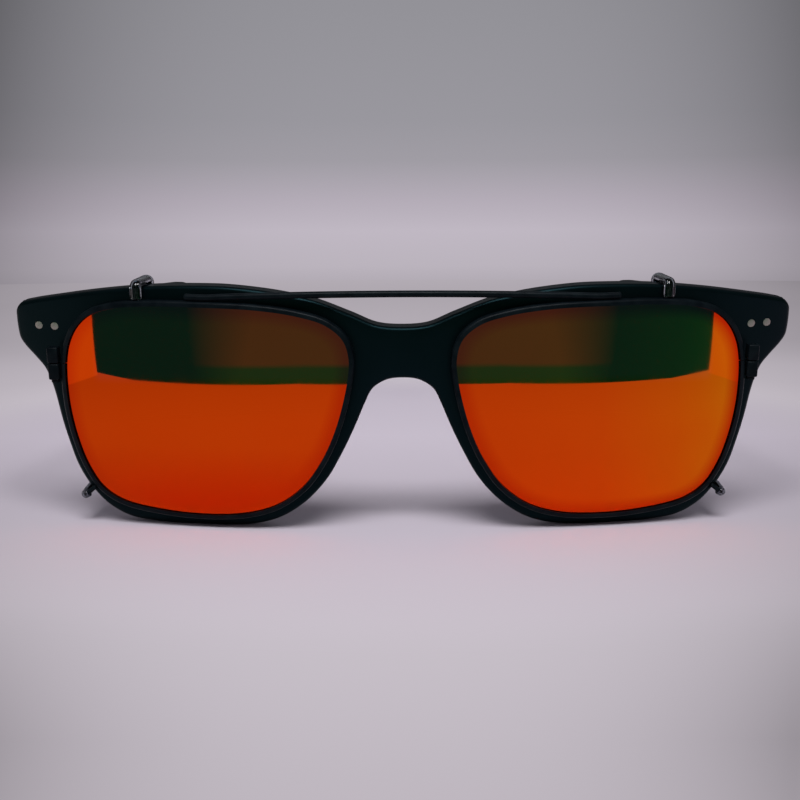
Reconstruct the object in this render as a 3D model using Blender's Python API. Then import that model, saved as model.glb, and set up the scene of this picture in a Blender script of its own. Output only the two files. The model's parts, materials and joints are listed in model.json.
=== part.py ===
"""Square acetate spectacle frame that carries a clip-on pair of mirrored sun lenses.

The front is drawn in front coordinates: x to the wearer's left, y back from the front
face at the bridge, z up from the bottom of the rims. It then leans forward at the top
by TILT, as worn, and stands on its rims and temple tips. All lengths are in metres.
"""
import math

import bmesh
import bpy
from mathutils import Matrix, Vector

MM = 0.001
OBJECT_NAME = "sunglasses"

# Clip-on lenses, as seen from the front
LENS_WIDTH = 52.5 * MM
LENS_HEIGHT = 39.2 * MM
LENS_SPACING = 19.0 * MM
LENS_THICKNESS = 1.0 * MM
LENS_DOME_RADIUS = 150 * MM
CLIP_STANDOFF = 2.9 * MM

# Clip-on rims, bar, closing blocks, hooks and prongs
RIM_WIDTH = 0.95 * MM
RIM_DEPTH = 1.8 * MM
RIM_CHAMFER = 0.3 * MM
LENS_SEAT = 0.4 * MM
BAR_RADIUS = 0.6 * MM
BAR_RISE = 1.0 * MM
BAR_BOW = 2.4 * MM
BAR_FOOT_INNER = 34.4 * MM
BAR_FOOT_LENGTH = 4.2 * MM
BLOCK_WIDTH = 2.0 * MM
BLOCK_DEPTH = 2.2 * MM
BLOCK_HALF_HEIGHT = 3.0 * MM
BLOCK_ROUND = 0.3 * MM
BLOCK_SPLIT = 0.25 * MM
BLOCK_SCREW_RADIUS = 0.45 * MM
BLOCK_SCREW_HEAD_RADIUS = 0.8 * MM
BLOCK_SCREW_HEAD_HEIGHT = 0.5 * MM
HOOK_FROM_LENS_CENTRE = 11.75 * MM
HOOK_TURN = math.radians(8)
HOOK_DROP = 1.6 * MM
HOOK_BEND_RADIUS = 1.1 * MM
HOOK_SLEEVE_RADIUS = 0.7 * MM
HOOK_SLEEVE_START = 0.1 * MM
WIRE_RADIUS = 0.42 * MM
PRONG_BEND_RADIUS = 1.0 * MM
PRONG_REACH_BACK = 2.8 * MM
PRONG_SLEEVE_RADIUS = 0.85 * MM
PRONG_SLEEVE_START = 1.9 * MM

# Acetate front
FACE_RADIUS = 230 * MM
FRONT_THICKNESS = 4.0 * MM
FRONT_EDGE_ROUND = 0.8 * MM
LOWER_RIM = 3.1 * MM
BROW_RISE = 3.4 * MM
END_PIECE_REACH = 10.15 * MM
EYE_INSET_SIDE = 1.9 * MM
EYE_INSET_EDGE = 2.3 * MM
EYE_LENS_THICKNESS = 1.6 * MM
EYE_LENS_SETBACK = 1.3 * MM
EYE_LENS_SEAT = 0.6 * MM
TILT = math.radians(8)

# Nose pads, glued to the back of the front
PAD_HEIGHT = 13 * MM
PAD_WIDTH = 4.4 * MM
PAD_DEPTH = 3.8 * MM
PAD_Z = 19.5 * MM
PAD_EDGE_INSET = 2.2 * MM
PAD_LEAN = math.radians(24)

# Hinges
HINGE_BELOW_TOP = 8.5 * MM
HINGE_TURN = math.radians(6)
HINGE_BLOCK_MARGIN = 0.5 * MM
PIN_SETBACK = 2.6 * MM
KNUCKLE_RADIUS = 1.4 * MM
KNUCKLE_HEIGHT = 1.2 * MM
KNUCKLE_COUNT = 5
KNUCKLE_WEB = 0.9 * MM
LEAF_THICKNESS = 0.9 * MM
FRONT_LEAF_WIDTH = 6.3 * MM
FRONT_LEAF_INNER = 3.8 * MM
TEMPLE_LEAF_LENGTH = 9.0 * MM
PIN_RADIUS = 0.55 * MM
PIN_HEAD_RADIUS = 1.0 * MM
PIN_HEAD_HEIGHT = 0.5 * MM
PIN_SLOT_WIDTH = 0.35 * MM
RIVET_RADIUS = 0.75 * MM
RIVET_SPACING = 3.25 * MM
RIVET_MIDDLE = -0.17 * MM
TEMPLE_RIVET_BACK = 5.0 * MM
TEMPLE_RIVET_SPACING = 3.8 * MM

# Temples
TEMPLE_THICKNESS = 3.7 * MM
TEMPLE_HEIGHT = 7.2 * MM
TEMPLE_WAIST_THICKNESS = 3.1 * MM
TEMPLE_WAIST_HEIGHT = 7.6 * MM
TIP_HEIGHT = 8.4 * MM
TIP_THICKNESS = 3.6 * MM
TEMPLE_EDGE = 0.9 * MM
TEMPLE_STRAIGHT = 88 * MM
EAR_BEND_RADIUS = 20 * MM
EAR_BEND = math.radians(45)
TIP_INWARD = 3.0 * MM
CORE_RADIUS = 0.6 * MM
CORE_START = 0.6 * MM
CORE_TIP_MARGIN = 9.0 * MM

# Clearances
FIT_GAP = 0.1 * MM
TOUCH_GAP = 0.3 * MM
SLEEVE_GAP = 0.1 * MM
BUTT_GAP = 0.2 * MM
OVERRUN = 2.0 * MM
WELD = 0.001 * MM

# Counts of the outlines' points, the front's facets and the stations of lofts
LENS_POINT_COUNT = 40
HALF_FRONT_POINT_COUNT = 48
FACET_COUNT = 24
ROUND_SIDES = 12
BEND_STEPS = 5
TIP_STEPS = 4
FINE_STEPS = 8
RIVET_SOLVE_ROUNDS = 6

# Angles: what counts as coplanar, flat and sharp, and the stations round the temple tip
COPLANAR_ANGLE = math.radians(0.05)
FLAT_ANGLE = math.radians(0.5)
SHARP_ANGLE = math.radians(35)
TIP_ROUND_ANGLES = (30, 55, 75, 87)

# Rings of a lens, in shares of its outline; stations of the temple's straight run and of
# half the bar, in shares of their lengths; the prong's place, in shares of the half lens;
# and how many times broader than thick the top hooks and their sleeves are
LENS_RING_SHARES = (0.66, 0.33)
TEMPLE_STATION_SHARES = (0.0, 0.08, 0.25, 0.5, 0.75, 1.0)
BAR_STATION_SHARES = (0.9, 0.75, 0.6, 0.45, 0.3, 0.15, 0.0)
PRONG_SHARES = (0.817, -0.75)
HOOK_BREADTH = 1.5

# Lens outline from the closing block down and round, in shares of the half sizes
LENS_SHARES = (
    (0.994, 0.42), (1.0, 0.14), (0.985, -0.1), (0.95, -0.34), (0.895, -0.57), (0.8, -0.785),
    (0.655, -0.91), (0.36, -0.982), (0.01, -1.0), (-0.28, -0.96), (-0.49, -0.86),
    (-0.67, -0.67), (-0.795, -0.43), (-0.88, -0.19), (-0.945, 0.08), (-0.99, 0.36),
    (-1.0, 0.55), (-0.962, 0.72), (-0.848, 0.852), (-0.66, 0.932), (-0.37, 0.985),
    (0.05, 1.0), (0.36, 0.995), (0.62, 0.96), (0.79, 0.888), (0.895, 0.77), (0.962, 0.61),
)

# Front outline from the bridge over the brow and round the end piece to the rim bottom,
# in shares of half the width and of the height
BROW_SHARES = (
    (0.0, 0.846), (0.063, 0.855), (0.126, 0.896), (0.215, 0.949), (0.281, 0.971),
    (0.338, 0.985), (0.426, 0.998), (0.486, 1.0), (0.617, 0.993), (0.756, 0.969),
    (0.883, 0.936), (0.955, 0.914), (0.983, 0.901), (0.998, 0.872), (1.0, 0.84),
    (0.999, 0.79), (0.995, 0.753), (0.982, 0.722), (0.955, 0.677), (0.932, 0.634),
    (0.918, 0.58), (0.909, 0.526), (0.897, 0.423), (0.881, 0.319), (0.86, 0.216),
    (0.831, 0.137), (0.786, 0.062), (0.725, 0.014), (0.64, 0.0), (0.54, 0.0),
)

# Front outline from the rim bottom up the nose to the arch, in shares of the lens
# centre's distance from the middle and of the height
NOSE_SHARES = (
    (0.9, 0.004), (0.755, 0.018), (0.64, 0.048), (0.54, 0.097), (0.462, 0.152),
    (0.383, 0.229), (0.308, 0.335), (0.246, 0.438), (0.193, 0.537), (0.162, 0.588),
    (0.135, 0.611), (0.076, 0.636), (0.0, 0.643),
)

# Derived sizes of the front
LENS_X = (LENS_SPACING + LENS_WIDTH) / 2
LENS_Z = LOWER_RIM + LENS_HEIGHT / 2
FRONT_HALF = LENS_X + LENS_WIDTH / 2 + END_PIECE_REACH
FRONT_HEIGHT = LOWER_RIM + LENS_HEIGHT + BROW_RISE
HOOK_X = LENS_X + HOOK_FROM_LENS_CENTRE
HOOK_HALF_BREADTH = HOOK_SLEEVE_RADIUS * HOOK_BREADTH
EYE_WIDTH = LENS_WIDTH - 2 * EYE_INSET_SIDE
EYE_HEIGHT = LENS_HEIGHT - 2 * EYE_INSET_EDGE

# Derived places of the hinge: the pin is the origin of the hinge's own coordinates
LEAF_FACE = PIN_SETBACK - FIT_GAP
TEMPLE_INNER = PIN_SETBACK
TEMPLE_OUTER = TEMPLE_INNER + TEMPLE_THICKNESS
PIN_X = FRONT_HALF - TEMPLE_OUTER - HINGE_BLOCK_MARGIN
HINGE_Z = FRONT_HEIGHT - HINGE_BELOW_TOP
KNUCKLE_PITCH = KNUCKLE_HEIGHT + FIT_GAP
HINGE_HALF = (KNUCKLE_COUNT * KNUCKLE_PITCH - FIT_GAP) / 2
BORE_PIN = PIN_RADIUS + FIT_GAP / 2
BORE_RIVET = RIVET_RADIUS + FIT_GAP / 2
TEMPLE_BUTT = BUTT_GAP - PIN_SETBACK

# Derived distances along the temple's middle line
ROUND_TIP = TIP_HEIGHT / 2
BEND_END = TEMPLE_STRAIGHT + EAR_BEND_RADIUS * EAR_BEND

ACETATE = ("acetate", (0.012, 0.014, 0.017), 0.42, 0.0)
PAD_ACETATE = ("pad_acetate", (0.014, 0.016, 0.019), 0.35, 0.0)
CLEAR_LENS = ("clear_lens", (0.8, 0.84, 0.86), 0.03, 0.0)
MIRROR_LENS = ("mirror_lens", (0.75, 0.12, 0.01), 0.08, 0.9)
BLACK_METAL = ("black_metal", (0.015, 0.015, 0.018), 0.35, 0.8)
STEEL = ("steel", (0.45, 0.43, 0.42), 0.35, 1.0)
HINGE_METAL = ("hinge_metal", (0.35, 0.34, 0.33), 0.3, 1.0)
SLEEVE = ("clear_sleeve", (0.75, 0.76, 0.78), 0.15, 0.0)

SIDES = (("left", 1), ("right", -1))


def face_depth(x):
    """How far the front's face has bent back at x"""
    return FACE_RADIUS - math.sqrt(FACE_RADIUS ** 2 - x ** 2)


def face_slope(x):
    """How fast the front's face bends back at x"""
    return x / math.sqrt(FACE_RADIUS ** 2 - x ** 2)


def lens_depth(x, z):
    """Depth of a domed lens that touches the front's face at the lens centre"""
    across = x - LENS_X
    up = z - LENS_Z
    dome = (across ** 2 + up ** 2) / (2 * LENS_DOME_RADIUS)
    return face_depth(LENS_X) + face_slope(LENS_X) * across + dome


def clip_depth(x, z):
    return lens_depth(x, z) - CLIP_STANDOFF


def eye_depth(x, z):
    return lens_depth(x, z) + EYE_LENS_SETBACK


def ease(share):
    """A share from 0 to 1 that starts and ends gently"""
    share = min(max(share, 0.0), 1.0)
    return share * share * (3 - 2 * share)


def blend(one, two, share):
    return one + (two - one) * share


def smooth_between(before, start, end, after, share):
    """A point on the centripetal curve from start to end"""
    knots = [0.0]
    points = (before, start, end, after)
    for one, two in zip(points, points[1:]):
        knots.append(knots[-1] + math.sqrt((two - one).length))
    t = knots[1] + share * (knots[2] - knots[1])

    def mix(one, two, low, high):
        return one * ((high - t) / (high - low)) + two * ((t - low) / (high - low))

    first = mix(before, start, knots[0], knots[1])
    second = mix(start, end, knots[1], knots[2])
    third = mix(end, after, knots[2], knots[3])
    left = mix(first, second, knots[0], knots[2])
    right = mix(second, third, knots[1], knots[3])
    return mix(left, right, knots[1], knots[2])


def smooth_loop(points):
    """A fine closed curve through the given points"""
    count = len(points)
    fine = []
    for i in range(count):
        around = [points[(i + k) % count] for k in (-1, 0, 1, 2)]
        fine += [smooth_between(*around, k / FINE_STEPS) for k in range(FINE_STEPS)]
    return fine


def spaced(path, count):
    """Evenly spaced points along an open path, with both ends"""
    reach = [0.0]
    for one, two in zip(path, path[1:]):
        reach.append(reach[-1] + (two - one).length)
    found = []
    leg = 0
    for k in range(count):
        want = reach[-1] * k / (count - 1)
        while leg < len(path) - 2 and reach[leg + 1] < want:
            leg += 1
        share = (want - reach[leg]) / (reach[leg + 1] - reach[leg])
        found.append(path[leg].lerp(path[leg + 1], min(share, 1.0)))
    return found


def spaced_loop(points, count):
    fine = smooth_loop(points)
    return spaced(fine + fine[:1], count + 1)[:-1]


def lens_loop(width, height):
    """The lens outline at a size, as (x, z) points that start at the closing block"""
    points = [Vector((LENS_X + u * width / 2, LENS_Z + v * height / 2)) for u, v in LENS_SHARES]
    return spaced_loop(points, LENS_POINT_COUNT)


def front_loop():
    """The front's outline, mirrored about the middle, as (x, z) points"""
    half = [Vector((u * FRONT_HALF, v * FRONT_HEIGHT)) for u, v in BROW_SHARES]
    half += [Vector((u * LENS_X, v * FRONT_HEIGHT)) for u, v in NOSE_SHARES]
    other = [Vector((-point.x, point.y)) for point in reversed(half[1:-1])]
    fine = smooth_loop(half + other)
    steps = len(fine) // 2
    side = spaced(fine[:steps + 1], HALF_FRONT_POINT_COUNT)
    return side + [Vector((-point.x, point.y)) for point in reversed(side[1:-1])]


def outward(loop, i):
    """The outward direction of a closed clockwise outline at its point i"""
    run = (loop[(i + 1) % len(loop)] - loop[i - 1]).normalized()
    return Vector((-run.y, run.x))


def offset_loop(loop, distance):
    return [point + outward(loop, i) * distance for i, point in enumerate(loop)]


def top_at(loop, x):
    """Index of the outline's upper point nearest to x"""
    middle = (max(p.y for p in loop) + min(p.y for p in loop)) / 2
    upper = [i for i, point in enumerate(loop) if point.y > middle]
    return min(upper, key=lambda i: abs(loop[i].x - x))


def make_material(spec):
    name, color, roughness, metallic = spec
    material = bpy.data.materials.get(name)
    if material is None:
        material = bpy.data.materials.new(name)
        material.use_nodes = True
        shader = material.node_tree.nodes["Principled BSDF"]
        shader.inputs["Base Color"].default_value = (*color, 1.0)
        shader.inputs["Roughness"].default_value = roughness
        shader.inputs["Metallic"].default_value = metallic
    return material


def clear_scene():
    for thing in list(bpy.data.objects):
        bpy.data.objects.remove(thing, do_unlink=True)


def new_collection(name):
    collection = bpy.data.collections.new(name)
    bpy.context.scene.collection.children.link(collection)
    return collection


def empty(name, parent=None, matrix=None):
    thing = bpy.data.objects.new(name, None)
    PARTS.objects.link(thing)
    thing.parent = parent
    if matrix is not None:
        thing.matrix_local = matrix
    return thing


def add_piece(name, mesh, spec, parent, side=1, shift=None):
    """Link a mesh as a sub-part; side -1 mirrors what was drawn for the left"""
    if side < 0:
        mesh.transform(Matrix.Diagonal((-1, 1, 1, 1)))
        mesh.flip_normals()
    if shift is not None:
        mesh.transform(Matrix.Translation(shift))
    mesh.name = name
    mesh.materials.clear()
    mesh.materials.append(make_material(spec))
    mesh.shade_smooth()
    mesh.set_sharp_from_angle(angle=SHARP_ANGLE)
    piece = bpy.data.objects.new(name, mesh)
    PARTS.objects.link(piece)
    piece.parent = parent
    return piece


def tool_object(mesh):
    """A cutter or a guide, kept out of the model"""
    thing = bpy.data.objects.new("tool", mesh)
    CUTTERS.objects.link(thing)
    thing.hide_render = True
    thing.display_type = "WIRE"
    return thing


def finished(bm):
    """A mesh from a bmesh, with its faces pointing out"""
    bmesh.ops.recalc_face_normals(bm, faces=bm.faces)
    mesh = bpy.data.meshes.new("mesh")
    bm.to_mesh(mesh)
    bm.free()
    return mesh


def evaluated_mesh(thing):
    bpy.context.view_layer.update()
    graph = bpy.context.evaluated_depsgraph_get()
    return bpy.data.meshes.new_from_object(thing.evaluated_get(graph))


def combined(mesh, tools, operation):
    """The mesh after a Boolean with each tool mesh in turn"""
    base = tool_object(mesh)
    for other in tools:
        modifier = base.modifiers.new("cut", "BOOLEAN")
        modifier.operation = operation
        modifier.solver = "EXACT"
        modifier.object = tool_object(other)
    result = evaluated_mesh(base)
    for thing in list(CUTTERS.objects):
        bpy.data.objects.remove(thing, do_unlink=True)
    return result


def box(low, high, round_by=0):
    """A box between two corners, with its edges rounded if asked"""
    low, high = Vector(low), Vector(high)
    bm = bmesh.new()
    bmesh.ops.create_cube(bm, size=1)
    size = high - low
    bmesh.ops.scale(bm, vec=size, verts=bm.verts)
    bmesh.ops.translate(bm, vec=(low + high) / 2, verts=bm.verts)
    if round_by:
        bmesh.ops.bevel(bm, geom=bm.edges, offset=round_by, segments=2, affect="EDGES", profile=0.5)
    return finished(bm)


def rod(radius, start, end):
    """A round bar between two points"""
    start, end = Vector(start), Vector(end)
    along = end - start
    bm = bmesh.new()
    bmesh.ops.create_cone(bm, cap_ends=True, segments=ROUND_SIDES, radius1=radius, radius2=radius,
                          depth=along.length)
    turn = Vector((0, 0, 1)).rotation_difference(along).to_matrix().to_4x4()
    place = Matrix.Translation((start + end) / 2)
    bmesh.ops.transform(bm, matrix=place @ turn, verts=bm.verts)
    return finished(bm)


def rounded_path(points, radius, steps=3):
    """A path through the points, with an arc of the radius at each inner corner"""
    path = [points[0]]
    for before, corner, after in zip(points, points[1:], points[2:]):
        back = (before - corner).normalized()
        on = (after - corner).normalized()
        half = back.angle(on) / 2
        trim = radius / math.tan(half)
        centre = corner + (back + on).normalized() * (radius / math.sin(half))
        start = corner + back * trim - centre
        end = corner + on * trim - centre
        for k in range(steps + 1):
            path.append(centre + start.slerp(end, k / steps).normalized() * radius)
    path.append(points[-1])
    return path


def tube(points, radius):
    """A round wire along the points"""
    curve = bpy.data.curves.new("tube", "CURVE")
    curve.dimensions = "3D"
    curve.bevel_depth = radius
    curve.bevel_resolution = 2
    curve.use_fill_caps = True
    spline = curve.splines.new("POLY")
    spline.points.add(len(points) - 1)
    for spot, point in zip(spline.points, points):
        spot.co = (*point, 1.0)
    guide = tool_object(curve)
    mesh = evaluated_mesh(guide)
    bpy.data.objects.remove(guide, do_unlink=True)
    bm = bmesh.new()
    bm.from_mesh(mesh)
    bmesh.ops.remove_doubles(bm, verts=bm.verts, dist=WELD)
    return finished(bm)


def path_from(path, distance):
    """What is left of a path past a distance along it"""
    for k, (one, two) in enumerate(zip(path, path[1:])):
        leg = (two - one).length
        if distance < leg:
            return [one.lerp(two, distance / leg), *path[k + 1:]]
        distance -= leg
    return path[-2:]


def sleeve(points, radius, bore):
    """A soft sleeve along the points, with its bore right through"""
    first = points[0] + (points[0] - points[1]).normalized() * OVERRUN
    last = points[-1] + (points[-1] - points[-2]).normalized() * OVERRUN
    return combined(tube(points, radius), [tube([first, *points[1:-1], last], bore)], "DIFFERENCE")


def plate_curve(loops, thickness, round_by):
    """A plate from flat outlines, the first with the others as holes, its edges rounded"""
    curve = bpy.data.curves.new("plate", "CURVE")
    curve.dimensions = "2D"
    curve.fill_mode = "BOTH"
    curve.extrude = thickness / 2 - round_by
    curve.bevel_depth = round_by
    curve.bevel_resolution = 1
    curve.offset = -round_by
    for loop in loops:
        spline = curve.splines.new("POLY")
        spline.points.add(len(loop) - 1)
        for spot, point in zip(spline.points, loop):
            spot.co = (point.x, point.y, 0.0, 1.0)
        spline.use_cyclic_u = True
    guide = tool_object(curve)
    mesh = evaluated_mesh(guide)
    bpy.data.objects.remove(guide, do_unlink=True)
    return mesh


def domed_plate(loop, depth_at, thickness):
    """A lens: rings of the outline, front and back, drawn in to its centre"""
    bm = bmesh.new()
    centre = Vector((LENS_X, LENS_Z))
    faces = []
    for back in (-thickness / 2, thickness / 2):
        rings = []
        for share in (1.0, *LENS_RING_SHARES):
            points = [centre.lerp(point, share) for point in loop]
            rings.append([bm.verts.new((p.x, depth_at(p.x, p.y) + back, p.y)) for p in points])
        middle = bm.verts.new((centre.x, depth_at(*centre) + back, centre.y))
        for outer, inner in zip(rings, rings[1:]):
            bridge_rings(bm, outer, inner)
        last = rings[-1]
        for one, two in zip(last, last[1:] + last[:1]):
            bm.faces.new((one, two, middle))
        faces.append(rings[0])
    bridge_rings(bm, *faces)
    return finished(bm)


def bridge_rings(bm, one, two):
    for i in range(len(one)):
        bm.faces.new((one[i], one[i - 1], two[i - 1], two[i]))


def loft(sections):
    """A body through like-numbered rings of points, capped, with its flat sides in one piece"""
    bm = bmesh.new()
    rings = [[bm.verts.new(point) for point in ring] for ring in sections]
    for one, two in zip(rings, rings[1:]):
        bridge_rings(bm, one, two)
    bm.faces.new(rings[0])
    bm.faces.new(rings[-1])
    bmesh.ops.recalc_face_normals(bm, faces=bm.faces)
    bmesh.ops.dissolve_limit(bm, angle_limit=COPLANAR_ANGLE, verts=bm.verts, edges=bm.edges)
    return finished(bm)


def front_frame(eye):
    """The acetate front: a rounded plate with two eye openings, bent to the face"""
    other_eye = [Vector((-point.x, point.y)) for point in eye]
    mesh = plate_curve([FRONT_OUTLINE, eye, other_eye], FRONT_THICKNESS, FRONT_EDGE_ROUND)
    bm = bmesh.new()
    bm.from_mesh(mesh)
    bmesh.ops.remove_doubles(bm, verts=bm.verts, dist=WELD)
    bmesh.ops.rotate(bm, verts=bm.verts, matrix=Matrix.Rotation(math.radians(90), 3, "X"))
    bmesh.ops.translate(bm, verts=bm.verts, vec=(0, FRONT_THICKNESS / 2, 0))
    bmesh.ops.dissolve_limit(bm, angle_limit=FLAT_ANGLE, verts=bm.verts, edges=bm.edges)
    for k in range(1, FACET_COUNT):
        where = FRONT_HALF * (2 * k / FACET_COUNT - 1)
        bmesh.ops.bisect_plane(bm, geom=bm.verts[:] + bm.edges[:] + bm.faces[:],
                               dist=WELD, plane_co=(where, 0, 0), plane_no=(1, 0, 0))
    for vert in bm.verts:
        vert.co.y += face_depth(vert.co.x)
    bmesh.ops.triangulate(bm, faces=bm.faces)
    return finished(bm)


def hinge_matrix(side):
    """Hinge coordinates: the pin along z, x out through the temple, y back along it"""
    rear = face_depth(PIN_X) + FRONT_THICKNESS
    place = Matrix.Translation((side * PIN_X, rear + PIN_SETBACK, HINGE_Z))
    return place @ Matrix.Rotation(side * HINGE_TURN, 4, "Z")


def hinge_cutters():
    """What squares off the left end piece's rear, and the holes for its two rivets"""
    back = -PIN_SETBACK
    reach = FRONT_LEAF_WIDTH + TEMPLE_OUTER
    rear_cut = box((-FRONT_LEAF_INNER - OVERRUN, back, -HINGE_Z), (reach, back + reach, HINGE_Z))
    holes = [rod(BORE_RIVET, (x, -reach, 0), (x, back + FRONT_THICKNESS, 0)) for x in rivet_places()]
    return [rear_cut, *holes]


def rivet_places():
    return [RIVET_MIDDLE + k * RIVET_SPACING / 2 for k in (-1, 1)]


def temple_rivet_places():
    slope = -math.tan(TILT) * TEMPLE_RIVET_BACK
    return [slope + k * TEMPLE_RIVET_SPACING / 2 for k in (-1, 1)]


def knuckle_span(k):
    low = -HINGE_HALF + k * KNUCKLE_PITCH
    return low, low + KNUCKLE_HEIGHT


def pin_bore():
    return rod(BORE_PIN, (0, 0, -HINGE_HALF - OVERRUN), (0, 0, HINGE_HALF + OVERRUN))


def front_leaf():
    """The hinge half on the front: a plate with every other knuckle, counted from the top"""
    web_start = LEAF_THICKNESS / 2 - LEAF_FACE
    hole_end = LEAF_THICKNESS + FIT_GAP - LEAF_FACE
    plate = box((-FRONT_LEAF_INNER, -LEAF_FACE, -HINGE_HALF),
                (FRONT_LEAF_WIDTH - FRONT_LEAF_INNER, LEAF_THICKNESS - LEAF_FACE, HINGE_HALF))
    additions = []
    for k in range(0, KNUCKLE_COUNT, 2):
        low, high = knuckle_span(k)
        additions.append(rod(KNUCKLE_RADIUS, (0, 0, low), (0, 0, high)))
        additions.append(box((-KNUCKLE_WEB, web_start, low), (KNUCKLE_WEB, 0, high)))
    holes = [rod(BORE_RIVET, (x, -LEAF_FACE - OVERRUN, 0), (x, hole_end, 0)) for x in rivet_places()]
    return combined(combined(plate, additions, "UNION"), [pin_bore(), *holes], "DIFFERENCE")


def temple_leaf():
    """The hinge half on the temple, whose knuckles lie between the front's"""
    face = TEMPLE_INNER - FIT_GAP
    inner = face - LEAF_THICKNESS
    plate = box((inner, -KNUCKLE_RADIUS, -HINGE_HALF),
                (face, TEMPLE_LEAF_LENGTH - KNUCKLE_RADIUS, HINGE_HALF))
    additions = []
    for k in range(1, KNUCKLE_COUNT, 2):
        low, high = knuckle_span(k)
        additions.append(rod(KNUCKLE_RADIUS, (0, 0, low), (0, 0, high)))
        additions.append(box((0, -KNUCKLE_WEB, low), (inner + LEAF_THICKNESS / 2, KNUCKLE_WEB, high)))
    back = TEMPLE_RIVET_BACK
    holes = [rod(BORE_RIVET, (inner - FIT_GAP, back, z), (face + OVERRUN, back, z))
             for z in temple_rivet_places()]
    return combined(combined(plate, additions, "UNION"), [pin_bore(), *holes], "DIFFERENCE")


def hinge_screw():
    """The hinge pin, a screw whose slotted head lies on the top knuckle"""
    seat = HINGE_HALF + FIT_GAP
    slot_floor = seat + PIN_HEAD_HEIGHT / 2
    head_top = seat + PIN_HEAD_HEIGHT
    half_slot = PIN_SLOT_WIDTH / 2
    shank = rod(PIN_RADIUS, (0, 0, -HINGE_HALF), (0, 0, slot_floor))
    head = rod(PIN_HEAD_RADIUS, (0, 0, seat), (0, 0, head_top))
    slot = box((-PIN_HEAD_RADIUS - OVERRUN, -half_slot, slot_floor),
               (PIN_HEAD_RADIUS + OVERRUN, half_slot, head_top + OVERRUN))
    return combined(combined(shank, [head], "UNION"), [slot], "DIFFERENCE")


def temple_round_start(pin_height):
    """Distance along the temple at which its tip starts to round off, as it rests on the table"""
    drop_in_bend = EAR_BEND_RADIUS * (1 - math.cos(EAR_BEND))
    return BEND_END + (pin_height - drop_in_bend - ROUND_TIP) / math.sin(EAR_BEND)


def temple_marks(round_start):
    """Distances along the temple at which its sections lie"""
    straight = [share * TEMPLE_STRAIGHT for share in TEMPLE_STATION_SHARES]
    bend = [blend(TEMPLE_STRAIGHT, BEND_END, k / BEND_STEPS) for k in range(1, BEND_STEPS + 1)]
    tip = [blend(BEND_END, round_start, k / TIP_STEPS) for k in range(1, TIP_STEPS + 1)]
    end = [round_start + ROUND_TIP * math.sin(math.radians(angle)) for angle in TIP_ROUND_ANGLES]
    return straight + bend + tip + end


def temple_place(distance):
    """Hinge y and z of the temple's middle at a distance along it, and its pitch there.

    The straight runs level once the front leans by TILT; then it bends down over the ear.
    """
    turn = min(max(distance - TEMPLE_STRAIGHT, 0.0) / EAR_BEND_RADIUS, EAR_BEND)
    rest = max(distance - BEND_END, 0.0)
    level = min(distance, TEMPLE_STRAIGHT) + EAR_BEND_RADIUS * math.sin(turn) + rest * math.cos(EAR_BEND)
    down = EAR_BEND_RADIUS * (1 - math.cos(turn)) + rest * math.sin(EAR_BEND)
    y = level * math.cos(TILT) - down * math.sin(TILT)
    z = -level * math.sin(TILT) - down * math.cos(TILT)
    return y, z, turn + TILT


def temple_size(distance, round_start):
    """Half height and half thickness of the temple, and how far out its middle lies"""
    along = ease(distance / TEMPLE_STRAIGHT)
    behind = ease((distance - TEMPLE_STRAIGHT) / (round_start - TEMPLE_STRAIGHT))
    height = blend(blend(TEMPLE_HEIGHT, TEMPLE_WAIST_HEIGHT, along), TIP_HEIGHT, behind)
    thickness = blend(blend(TEMPLE_THICKNESS, TEMPLE_WAIST_THICKNESS, along), TIP_THICKNESS, behind)
    past = max(distance - round_start, 0.0) / ROUND_TIP
    left = math.sqrt(1 - past ** 2)
    thickness *= (1 + left) / 2
    middle = TEMPLE_OUTER - thickness / 2 - TIP_INWARD * behind
    return height * left / 2, thickness / 2, middle


def temple_body(round_start):
    """The temple's acetate, whose outer side stays flat up to the ear bend"""
    sections = []
    for distance in temple_marks(round_start):
        y, z, pitch = temple_place(distance)
        half_height, half_thickness, x = temple_size(distance, round_start)
        edge = min(TEMPLE_EDGE, half_height / 2, half_thickness / 2)
        up = Vector((0, math.sin(pitch), math.cos(pitch)))
        if distance == 0:
            y, z, up = TEMPLE_BUTT, -TEMPLE_BUTT * math.tan(TILT), Vector((0, 0, 1))
        sections.append([Vector((x + across, y, z)) + up * rise
                         for across, rise in rounded_rectangle(half_thickness, half_height, edge)])
    return loft(sections)


def rounded_rectangle(half_width, half_height, edge):
    """Corner points of a rounded rectangle, three to a corner"""
    points = []
    for across, up, start in ((1, 1, 0), (-1, 1, 90), (-1, -1, 180), (1, -1, 270)):
        for turn in (0, 45, 90):
            angle = math.radians(start + turn)
            points.append((across * (half_width - edge) + edge * math.cos(angle),
                           up * (half_height - edge) + edge * math.sin(angle)))
    return points


def core_path(round_start, start):
    """The metal core's line through the middle of the temple, from hinge y start"""
    end = round_start + ROUND_TIP - CORE_TIP_MARGIN
    path = [Vector((temple_size(0, round_start)[2], start, -start * math.tan(TILT)))]
    for distance in temple_marks(round_start):
        if 0 < distance <= end:
            y, z, _ = temple_place(distance)
            path.append(Vector((temple_size(distance, round_start)[2], y, z)))
    return path


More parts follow.
